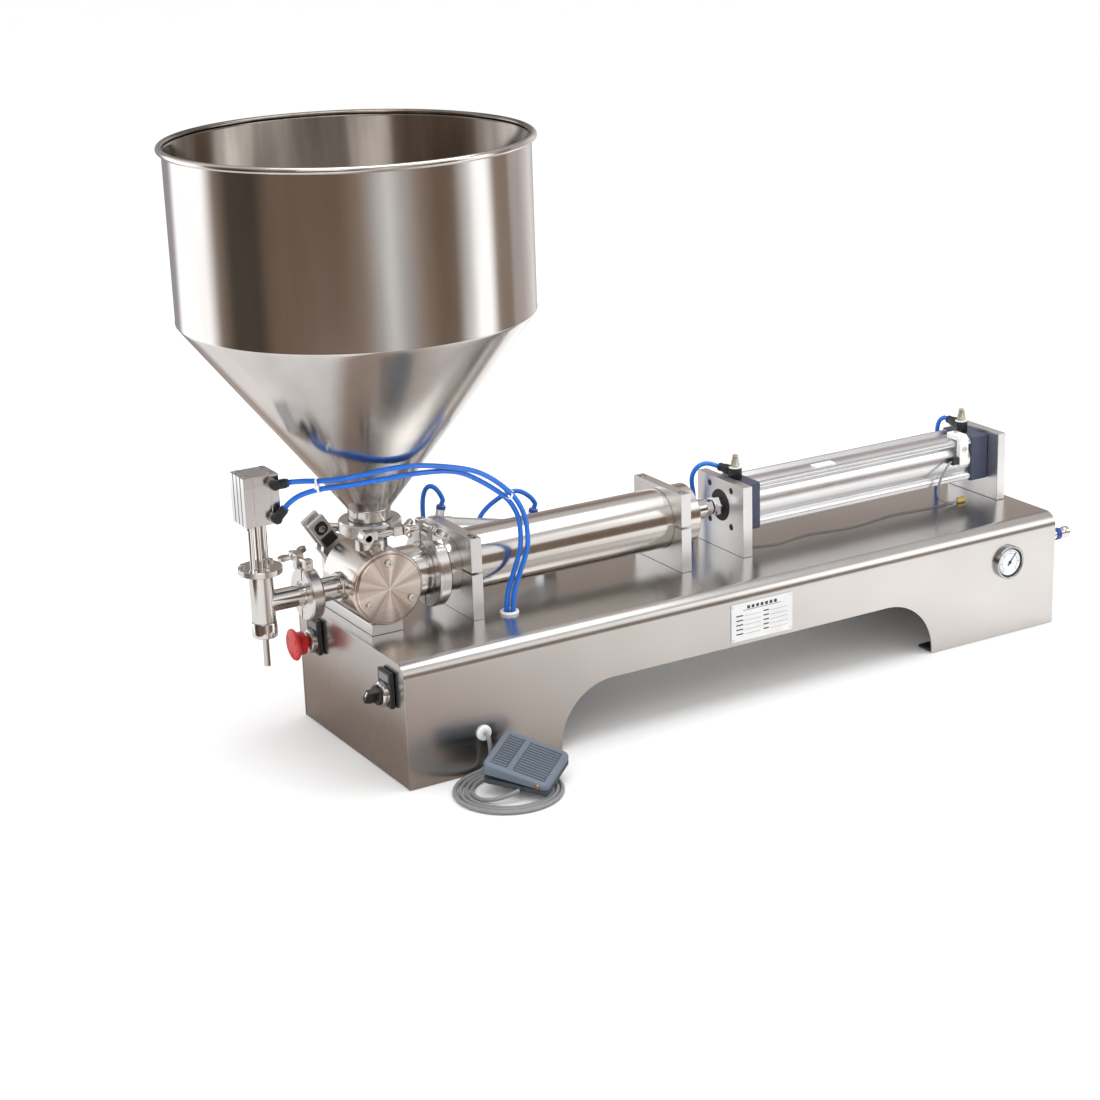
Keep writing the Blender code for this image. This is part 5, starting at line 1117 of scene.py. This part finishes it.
# ---------------------------------------------------------------- product cylinder
def product_side(mats):
    face = PRODUCT_CLAMP_X + 0.0002
    neck_in = TUBE_FROM + 0.004
    profile = [(FERRULE_L, face), (FERRULE_L, face + 0.0028), (0.0360, face + FERRULE_T),
               (0.0320, face + 0.0075), (0.0320, TUBE_FROM), (TUBE_R - 0.0008, TUBE_FROM),
               (TUBE_R, TUBE_FROM + 0.0008), (TUBE_R, TUBE_TO - 0.0008), (TUBE_R - 0.0006, TUBE_TO),
               (TUBE_BORE + 0.0006, TUBE_TO), (TUBE_BORE, TUBE_TO - 0.0006), (TUBE_BORE, neck_in),
               (0.029, neck_in), (0.029, face)]
    turned("product_tube", profile, mats["turned"], "X", (0, 0, AXIS_Z),
           replaces=("product_cylinder",), sides=128)
    for node in ("support_a_lower", "support_a_upper", "support_b_lower", "support_b_upper"):
        coat(node, mats["alu"], 0.0009)
    for name, x in (("a", -0.333), ("b", -0.0427)):
        for k, y in enumerate((-0.0435, 0.0435)):
            # Painted shadow: dark discs round the screws, for the shade in the screw holes.
            hole_shade = [(0, -0.0002), (0.0042, -0.0002), (0.0040, 0.0002), (0, 0.0002)]
            turned(f"support_{name}_hole_{k}", hole_shade, mats["dark_slot"], "Z", (x, y, 0.2498),
                   sides=32)
            screw(f"support_{name}_screw_{k}", (x, y, 0.2484), "Z", mats, radius=0.0036, height=0.0018)
    # Painted shadow: a dark slot outline on support a's top, for the shade in the slot.
    slot = add_prism(bmesh.new(), arc(-0.333, -0.038, 0.0022, 0, 180, 8) + arc(-0.333, -0.050, 0.0022, 180,
                                                                               360, 8), "Z", 0.2496, 0.2500)
    piece("support_a_slot_shade", slot, mats["dark_slot"], MACHINE)
    # Piston seen through the tube's open end, and the threaded coupling
    head = [(0, -0.0440), (0.0325, -0.0440), (TUBE_BORE - GAP, -0.0415), (TUBE_BORE - GAP, -0.0370),
            (0.0330, -0.0365), (0.0330, -0.0335), (TUBE_BORE - GAP, -0.0330), (TUBE_BORE - GAP, -0.0240),
            (0.0330, -0.0235), (0.0330, -0.0205), (TUBE_BORE - GAP, -0.0200), (TUBE_BORE - GAP, -0.0136),
            (TUBE_BORE - 0.0009, -0.0130), (0, -0.0130)]
    turned("piston_head", head, mats["teflon"], "X", (0, 0, AXIS_Z), "piston_train",
           ("product_piston",))
    for k, x in enumerate((-0.0350, -0.0220)):
        turned(f"piston_ring_{k}", arc(0.0330, x, 0.0011, -170, 170, 10), mats["rubber"], "X", (0, 0, AXIS_Z),
               "piston_train")
    sleeve = [(0, -0.0128), (0.0125, -0.0128), (0.0125, 0.0168), (0.0117, 0.0176), (0, 0.0176)]
    turned("coupling_sleeve", sleeve, mats["polished"], "X", (0, 0, AXIS_Z), "piston_train")


# ---------------------------------------------------------------- drive cylinder
def ridge_outline(sides):
    reach = math.hypot(RIDGE_AT, RIDGE_AT)
    outline = []
    for k in range(sides):
        angle = 2 * math.pi * k / sides
        from_ridge = (angle % (math.pi / 2)) - math.pi / 4
        radius, across = BARREL_R, reach * math.sin(from_ridge)
        if abs(across) < RIDGE_R:
            radius = max(radius, reach * math.cos(from_ridge) + math.sqrt(RIDGE_R ** 2 - across ** 2))
        groove = abs(abs(across) - RIDGE_R * 0.25)
        if abs(across) < RIDGE_R and groove < 0.0006:
            radius -= 0.0008
        outline.append((radius * math.cos(angle), AXIS_Z + radius * math.sin(angle)))
    return outline


def drive_side(mats):
    start, stop = CAP_F[1] + GAP, CAP_R[0] - GAP
    piece("drive_barrel", add_prism(bmesh.new(), ridge_outline(288), "X", start, stop), mats["anodised"],
          MACHINE, ("cylinder_barrel",), smooth=50)
    for end in ("front", "rear"):
        coat(f"mount_{end}", mats["alu"], 0.0009)
        coat(f"cap_{end}", mats["navy"])
    # Painted shadow: dark socket rings at the four screws on the mount face, for the shade in their recesses.
    for y in (-0.0235, 0.0235):
        for z in (-0.0235, 0.0235):
            name = f"mount_screw_{'f' if y < 0 else 'b'}{'l' if z < 0 else 'u'}"
            ring = [(0, -0.0004), (0.0041, -0.0004), (0.0041, 0.0030), (0.0016, 0.0030), (0.0016, 0.0012),
                    (0, 0.0012)]
            turned(name, ring, mats["dark_slot"], "X", (0.0442, y, AXIS_Z + z), sides=32)
    boss = [(0.0104, 0.0431), (0.0196, 0.0431), (0.0206, 0.0438), (0.0206, 0.0446), (0.0104, 0.0446)]
    turned("rod_seal", boss, mats["rubber"], "X", (0, 0, AXIS_Z))
    for k, (y, z) in enumerate(((-0.0235, -0.0235), (0.0235, -0.0235), (-0.0235, 0.0235), (0.0235, 0.0235))):
        screw(f"cap_screw_{k}", (0.4639 - GAP, y, AXIS_Z + z), "X", mats, radius=0.0045, height=0.0028)
    shaft = [(0, 0.0392), (ROD_R, 0.0392), (ROD_R, 0.398), (0.0247, 0.398), (0.0247, 0.419), (0, 0.419)]
    turned("drive_shaft", shaft, mats["polished"], "X", (0, 0, AXIS_Z), "piston_train",
           ("drive_rod",), 64)
    for k, (x, radius) in enumerate(((0.0290, 0.0128), (0.0178, 0.0107))):
        bm = add_rod(bmesh.new(), radius, 0.0, 0.0104, 6)
        piece(f"coupling_nut_{k}", bm, mats["chrome"], "piston_train", (), (x, 0, AXIS_Z),
              to_axis("X") @ Matrix.Rotation(0.3 + 0.3 * k, 3, "Z"), 0.0011)
    label = add_box(bmesh.new(), (0.180, -0.0140, AXIS_Z + 0.0252), (0.212, -0.0020, AXIS_Z + 0.0290))
    bmesh.ops.rotate(label, verts=label.verts, cent=(0, 0, AXIS_Z), matrix=Matrix.Rotation(math.radians(2), 3,
                                                                                           "X"))
    piece("barrel_label", label, mats["white"], MACHINE, bevel=0.0002)


def flow_controls(mats):
    base = AXIS_Z + CAP_HALF + GAP
    for name, x in FLOW_X.items():
        body = [(0, 0), (0.0078, 0), (0.0085, 0.0010), (0.0085, 0.0136), (0.0078, 0.0145), (0, 0.0145)]
        turned(f"regulator_{name}", body, mats["black"], "Z", (x, 0, base),
               replaces=(f"flow_{name}",), sides=64)
        washer = [(0.0056, 0.0144), (0.0080, 0.0144), (0.0080, 0.0154), (0.0056, 0.0154)]
        turned(f"regulator_washer_{name}", washer, mats["white"], "Z", (x, 0, base), sides=48)
        stem = [(0, 0.0146), (0.0058, 0.0146), (0.0058, 0.0190), (0.0050, 0.0196), (0.0050, 0.0236),
                (0, 0.0236)]
        turned(f"regulator_stem_{name}", stem, mats["brass"], "Z", (x, 0, base), sides=48)
        nut = add_rod(bmesh.new(), 0.0062, 0.0170, 0.0196, 6)
        piece(f"regulator_nut_{name}", nut, mats["brass"], MACHINE, (), (x, 0, base), None, 0.0004)
        knob = [(0, 0.0066), (0.0034, 0.0066), (0.0040, 0.0058), (0.0045, 0.003), (0.0045, -0.0002),
                (0.0026, -0.0002), (0.0026, 0.0028), (0, 0.0028)]
        turned(f"regulator_knob_{name}", knob, mats["brass"], "Z", (x, 0, base + 0.0240), f"flow_knob_{name}",
               (f"flow_knob_{name}",), 24)
        turn = Euler((0, -FLOW_RISE, FLOW_LEAN[name])).to_matrix() @ to_axis("X")
        arm = [(0, 0.002), (0.0062, 0.004), (0.0062, 0.0150), (0.0054, 0.0165), (0.0054, FLOW_REACH - 0.0012),
               (0, FLOW_REACH - 0.0012)]
        piece(f"regulator_arm_{name}", add_turned(bmesh.new(), arm, 48), mats["black"], MACHINE, (),
              (x, 0, FLOW_Z), turn)
        ring = [(0.0031, FLOW_REACH - 0.0016), (0.0048, FLOW_REACH - 0.0016), (0.0050, FLOW_REACH),
                (0.0031, FLOW_REACH)]
        piece(f"regulator_collar_{name}", add_turned(bmesh.new(), ring, 48), mats["collar"], MACHINE,
              (), (x, 0, FLOW_Z), turn)


def sensor(mats):
    outline = [(-0.0380, 0.204), (-0.0302, 0.204), (-0.0302, 0.2366), (-0.0100, 0.2366), (-0.0100, 0.2440),
               (-0.0330, 0.2440), (-0.0380, 0.2400)]
    piece("switch_strap", add_prism(bmesh.new(), outline, "X", 0.397, 0.411), mats["white"], MACHINE,
          ("position_sensor",), bevel=0.0010, segments=3)
    block("switch_body", (0.3860, -0.0372, 0.2060), (0.3990, -0.0302, 0.2155), mats["black"], 0.0010)
    screw("switch_screw_top", (0.404, -0.021, 0.2438), "Z", mats, radius=0.0034, height=0.0026)
    screw("switch_screw_side", (0.404, -0.0378, 0.226), "-Y", mats, radius=0.0034, height=0.0026)
    tube("switch_wire", [(0.3862, -0.0340, 0.2105), (0.3800, -0.0355, 0.2085), (0.3700, -0.0370, 0.1980),
                         (0.3640, -0.0360, 0.1840), (0.3630, -0.0340, 0.1720), (0.3700, -0.0320, 0.1620),
                         (0.3830, -0.0305, 0.1550), (0.3930, -0.0300, 0.1530), (0.4005, -0.0300, 0.1530)],
         0.0015, mats["cable"], spacing=0.002, resolution=4)
    tube("barrel_wire", [(0.0700, -0.0180, 0.1512), (0.1100, -0.0300, 0.1512), (0.1600, -0.0210, 0.1512),
                         (0.2300, -0.0300, 0.1512), (0.3000, -0.0200, 0.1512), (0.3600, -0.0260, 0.1512),
                         (0.3980, -0.0250, 0.1512)], 0.0007, mats["wire"], spacing=0.004,
         resolution=3)
    for k, (x, y) in enumerate(((0.4010, -0.0300), (0.4060, -0.0235))):
        plug = [(0, 0), (0.0022, 0), (0.0026, 0.0008), (0.0026, 0.0120), (0.0018, 0.0135), (0, 0.0135)]
        turned(f"wire_plug_{k}", plug, mats["amber"], "X", (x, y, 0.1530), sides=24)


# ---------------------------------------------------------------- controls
def controls(mats):
    outer = LEFT - GAP
    for name, node, (y, z) in (("estop", "estop_base", ESTOP), ("selector", "selector_base", SELECTOR)):
        low = z - 0.0155
        block(f"{name}_plate", (outer - 0.006, y - 0.015, low), (outer, y + 0.015, low + 0.043),
              mats["black"], 0.0014, replaces=(node,))
        window = add_box(bmesh.new(), (outer - 0.0064, y - 0.0110, low + 0.0310),
                         (outer - 0.0055, y + 0.0110, low + 0.0400))
        piece(f"{name}_legend", window, mats["cable"], MACHINE, bevel=0.0003)
        ring = [(0.0062, 0.0135), (0.0125, 0.0135), (0.0145, 0.0118), (0.0145, 0.0060), (0.0062, 0.0060)]
        metal_ring = mats["chrome"] if name == "selector" else mats["cast"]
        flip = to_axis("-X")
        piece(f"{name}_ring", add_turned(bmesh.new(), ring, 72), metal_ring, MACHINE, (),
              (outer, y, z), flip, 0.0004)
    y, z = ESTOP
    flip = to_axis("-X")
    head = [(0, 0.0345), (0.0100, 0.0343), (0.0165, 0.0337), (0.0188, 0.0325), (0.0195, 0.0312),
            (0.0190, 0.0300), (0.0150, 0.0270), (0.0140, 0.0255), (0.0140, 0.0190), (0.0056, 0.0190),
            (0.0056, -0.010), (0, -0.010)]
    piece("estop_mushroom", add_turned(bmesh.new(), head, 96), mats["red"], "estop_head",
          ("estop_head",), (LEFT, y, z), flip)
    for k in range(3):
        turn = flip @ Matrix.Rotation(k * 2 * math.pi / 3, 3, "Z")
        arrow = [(0.0075, -0.0010), (0.0125, -0.0010), (0.0125, -0.0024), (0.0150, 0.0), (0.0125, 0.0024),
                 (0.0125, 0.0010), (0.0075, 0.0010)]
        bm = add_prism(bmesh.new(), arrow, "Z", 0.0336, 0.0346)
        piece(f"estop_arrow_{k}", bm, mats["red"], "estop_head", (), (LEFT, y, z), turn)
    y, z = SELECTOR
    disc = [(0, 0.0180), (0.0105, 0.0180), (0.0118, 0.0170), (0.0120, 0.0145), (0.0056, 0.0145),
            (0.0056, -0.010), (0, -0.010)]
    piece("selector_disc", add_turned(bmesh.new(), disc, 72), mats["black"], "selector_knob",
          ("selector_knob",), (LEFT, y, z), flip)
    fin = [(LEFT - 0.0165, -0.0110), (LEFT - 0.0225, -0.0115), (LEFT - 0.0305, -0.0075),
           (LEFT - 0.0310, -0.0060), (LEFT - 0.0310, 0.0108), (LEFT - 0.0300, 0.0118),
           (LEFT - 0.0165, 0.0118)]
    bm = add_prism(bmesh.new(), fin, "Y", -0.0034, 0.0034)
    piece("selector_grip", bm, mats["black"], "selector_knob", (), (0, y, z),
          Matrix.Rotation(math.radians(40), 3, "X"), 0.0012, 3)
    bm = add_box(bmesh.new(), (LEFT - 0.0314, -0.0007, 0.0030), (LEFT - 0.0300, 0.0007, 0.0112))
    piece("selector_mark", bm, mats["white"], "selector_knob", (), (0, y, z),
          Matrix.Rotation(math.radians(40), 3, "X"))
    gauge(mats)
    inlet = [(0, 0.001), (0.0085, 0.001), (0.0085, 0.0130), (0.0078, 0.0140), (0.0068, 0.0150),
             (0.0068, 0.0355), (0.0076, 0.0365), (0.0078, 0.0372), (0.0078, 0.0432), (0.0072, 0.0440),
             (0.0042, 0.0440), (0.0042, 0.0200), (0, 0.0200)]
    turned("inlet_stem", inlet, mats["cast"], "X", INLET, replaces=("air_inlet",), sides=48)
    turned("inlet_ring", [(0.0068, 0.0220), (0.0080, 0.0224), (0.0080, 0.0290), (0.0068, 0.0294)],
           mats["collar"], "X", INLET, sides=48)


def gauge(mats):
    x, z = GAUGE
    at = (x, FRONT - GAP, z)
    flip = to_axis("-Y")
    bezel = [(0, -0.030), (0.0193, -0.030), (0.0193, 0), (0.0222, 0)] + arc(0.0206, 0.0048, 0.0016, 0, 120, 6)
    bezel += [(0.0192, 0.0056), (0.0189, 0.0030), (0, 0.0030)]
    piece("gauge_case", add_turned(bmesh.new(), bezel, 96), mats["bezel"], MACHINE, ("gauge_body",),
          at, flip)
    piece("gauge_dial", add_rod(bmesh.new(), 0.0188, 0.0029, 0.0033, 72), mats["dial"], MACHINE, (),
          at, flip)
    # Painted shade: a dark ring round the dial's edge inside the bezel, where the bezel's lip shades the
    # dial.
    shadow = [(0.0172, 0.0033), (0.0188, 0.0033), (0.0190, 0.0046), (0.0186, 0.0046), (0.0180, 0.0036),
              (0.0172, 0.0035)]
    piece("gauge_shade_ring", add_turned(bmesh.new(), shadow, 72), mats["rubber"], MACHINE, (), at, flip)
    ticks = bmesh.new()
    for k in range(31):
        angle = math.radians(-135 + 9 * k)
        inner = 0.0128 if k % 5 == 0 else 0.0144
        width = 0.00028 if k % 5 == 0 else 0.00016
        first = len(ticks.verts)
        add_box(ticks, (-width, -0.00350, inner), (width, -0.00325, 0.0162))
        ticks.verts.ensure_lookup_table()
        made = ticks.verts[first:]
        bmesh.ops.rotate(ticks, verts=made, matrix=Matrix.Rotation(angle, 3, "Y"))
    piece("gauge_ticks", ticks, mats["ink"], MACHINE, (), at)
    line = arc(0, 0, 0.0123, 225, -45, 40) + arc(0, 0, 0.0119, -45, 225, 40)
    piece("gauge_arc", add_prism(bmesh.new(), line, "Y", -0.00345, -0.00325), mats["ink"], MACHINE,
          (), at)
    needle = add_prism(bmesh.new(), [(-0.0008, -0.0050), (0.0008, -0.0050), (0.0003, 0.0148),
                                     (-0.0003, 0.0148)], "Y", -0.0043, -0.0037)
    piece("gauge_pointer", needle, mats["black"], "gauge_needle", ("gauge_needle",), at,
          Matrix.Rotation(math.radians(40), 3, "Y"))
    piece("gauge_hub", add_turned(bmesh.new(), [(0, 0.0034), (0.0020, 0.0034), (0.0024, 0.0040),
                                                (0.0018, 0.0048), (0, 0.0048)], 32), mats["black"],
          "gauge_needle", (), at, flip)


# ---------------------------------------------------------------- foot pedal
def rounded_plan(u0, v0, u1, v1, radius, steps=6):
    outline = arc(u1 - radius, v1 - radius, radius, 0, 90, steps) + arc(u0 + radius, v1 - radius, radius, 90,
                                                                        180, steps)
    return outline + arc(u0 + radius, v0 + radius, radius, 180, 270, steps) + arc(u1 - radius, v0 + radius,
                                                                                  radius, 270, 360, steps)


def pedal(mats):
    turn = Euler(PEDAL_TURN).to_matrix()
    tray = add_prism(bmesh.new(), rounded_plan(0, 0, PEDAL_U, PEDAL_V, 0.006), "Z", 0, 0.0065)
    piece("pedal_tray", tray, mats["pedal_dark"], MACHINE, ("pedal_base",), PEDAL_AT, turn, 0.0010)
    gland = add_turned(bmesh.new(), [(0, 0), (0.0036, 0), (0.0036, 0.0020), (0.0031, 0.0037),
                                     (0.0025, 0.0040), (0, 0.0040)], 40)
    mouth = pedal_frame() @ Vector((PEDAL_GLAND[0], 0, PEDAL_GLAND[1]))
    piece("pedal_gland", gland, mats["pedal_dark"], MACHINE, (), mouth, turn @ to_axis("-Y"))

    # Cover: rounded wedge, built as stacked rings that follow its sloping top
    hinge = (PEDAL_U - 0.008, 0.0095)
    at = pedal_frame() @ Vector((hinge[0], 0, hinge[1]))

    def top(u):
        return PEDAL_HIGH + (PEDAL_LOW - PEDAL_HIGH) * min(max(u / PEDAL_U, 0), 1)

    def bottom(u):
        return 0.0128 + (0.0072 - 0.0128) * min(max(u / PEDAL_U, 0), 1)

    def draped(bm):
        """Lay a flat mesh on the sloping top, and measure it from the hinge."""
        for vert in bm.verts:
            vert.co = Vector((vert.co.x - hinge[0], vert.co.y, top(vert.co.x) + vert.co.z - hinge[1]))
        return bm

    bm = bmesh.new()
    rings = []
    levels = [(0.0, "low"), (0.0, "high")] + [(0.0034 * (1 - math.cos(math.radians(a))), a) for a in (18, 36,
                                                                                                      54, 72,
                                                                                                      90)]
    for inset, kind in levels:
        ring = []
        for u, v in rounded_plan(-0.0008 + inset, -0.0008 + inset, PEDAL_U - inset, PEDAL_V + 0.0008 - inset,
                                 0.0072 - min(inset, 0.004) * 0.6):
            if kind == "low":
                height = bottom(u)
            elif kind == "high":
                height = top(u) - 0.0034
            else:
                height = top(u) - 0.0034 + 0.0034 * math.sin(math.radians(kind))
            ring.append(bm.verts.new((u - hinge[0], v, height - hinge[1])))
        rings.append(ring)
    for lower, upper in zip(rings, rings[1:]):
        join(bm, lower, upper)
    bm.faces.new(rings[-1])
    inner = [bm.verts.new((vert.co.x * 0.96 - 0.001, 0.0022 + (vert.co.y) * 0.94,
                           vert.co.z)) for vert in rings[0]]
    ceiling = [bm.verts.new((vert.co.x, vert.co.y, vert.co.z + 0.004)) for vert in inner]
    join(bm, inner, rings[0])
    join(bm, ceiling, inner)
    bm.faces.new(ceiling)
    cover = piece("pedal_top", bm, mats["pedal"], "pedal_cover", ("pedal_cover",), at, turn,
                  smooth=50)
    soften(cover, 0.0004, 1)

    # Ribs across the tread, in a narrow and a wide panel
    bm = bmesh.new()
    count = 13
    for k in range(count):
        v = 0.0085 + k * (PEDAL_V - 0.017) / (count - 1)
        for start, stop in ((0.0085, 0.0250), (0.0345, 0.0700)):
            profile = [(v - 0.0014, -0.0006), (v + 0.0014, -0.0006), (v + 0.0009, 0.0011),
                       (v - 0.0009, 0.0011)]
            add_prism(bm, profile, "X", start, stop)
    piece("pedal_ribs", draped(bm), mats["pedal"], "pedal_cover", (), at, turn, 0.0002, 1)
    bm = bmesh.new()
    for start, stop in ((0.0072, 0.0263), (0.0332, 0.0713)):
        add_prism(bm, rounded_plan(start, 0.0062, stop, PEDAL_V - 0.0062, 0.0020), "Z", -0.0005, 0.00015)
    piece("pedal_tread", draped(bm), mats["pedal_dark"], "pedal_cover", (), at, turn)
    # Raised strip between the panels
    bm = add_prism(bmesh.new(), [(0.006, -0.0004), (PEDAL_V - 0.006, -0.0004), (PEDAL_V - 0.0065, 0.0003),
                                 (0.0065, 0.0003)], "X", 0.0268, 0.0326)
    piece("pedal_strip", draped(bm), mats["pedal"], "pedal_cover", (), at, turn, 0.0002, 1)
    rivet = add_turned(bmesh.new(), [(0, 0), (0.0030, 0), (0.0028, 0.0010), (0.0014, 0.0018), (0, 0.0020)],
                       32)
    spot = pedal_frame() @ Vector((PEDAL_U - 0.0125, -0.0006, 0.0108))
    piece("pedal_hinge_pin", rivet, mats["copper"], "pedal_cover", (), spot, turn @ to_axis("-Y"))


def ties(mats):
    """Small white cable ties round the paired hoses."""
    for name, centre, along, across in (
        ("tie_neck", (-0.5250, -0.0505, 0.3475), (0.75, -0.62, 0.2), (0, 0, 1)),
        ("tie_bend", (-0.2915, -0.0593, 0.2965), (0.75, 0.05, -0.66), (0.1, 1, 0)),
    ):
        along = Vector(along).normalized()
        across = (Vector(across) - Vector(across).dot(along) * along).normalized()
        up = along.cross(across)
        turn = Matrix((across, up, along)).transposed()
        bm = bmesh.new()
        outer = arc(0.0044, 0, 0.0041, -90, 90, 10) + arc(-0.0044, 0, 0.0041, 90, 270, 10)
        inner = arc(0.0044, 0, 0.0033, -90, 90, 10) + arc(-0.0044, 0, 0.0033, 90, 270, 10)
        rows = [[bm.verts.new((x, y, z)) for x, y in outline] for outline in (outer, inner) for z in (-0.0012,
                                                                                                      0.0012)]
        for first, second in ((0, 1), (1, 3), (3, 2), (2, 0)):
            join(bm, rows[first], rows[second])
        piece(f"{name}_band", bm, mats["white"], MACHINE, (), centre, turn)
        head = add_box(bmesh.new(), (-0.0022, 0.0036, -0.0024), (0.0022, 0.0072, 0.0024))
        piece(f"{name}_head", head, mats["white"], MACHINE, (), centre, turn, 0.0005)


bpy.context.scene.view_settings.view_transform = "Standard"
camera()
materials = make_materials()
cable(materials)
hoses(materials)
floor()
studio()
lights()
for section in (base, hopper, clamps, valve, lever, actuator, outlet, product_side, drive_side, flow_controls,
                sensor, controls, pedal, ties):
    section(materials)
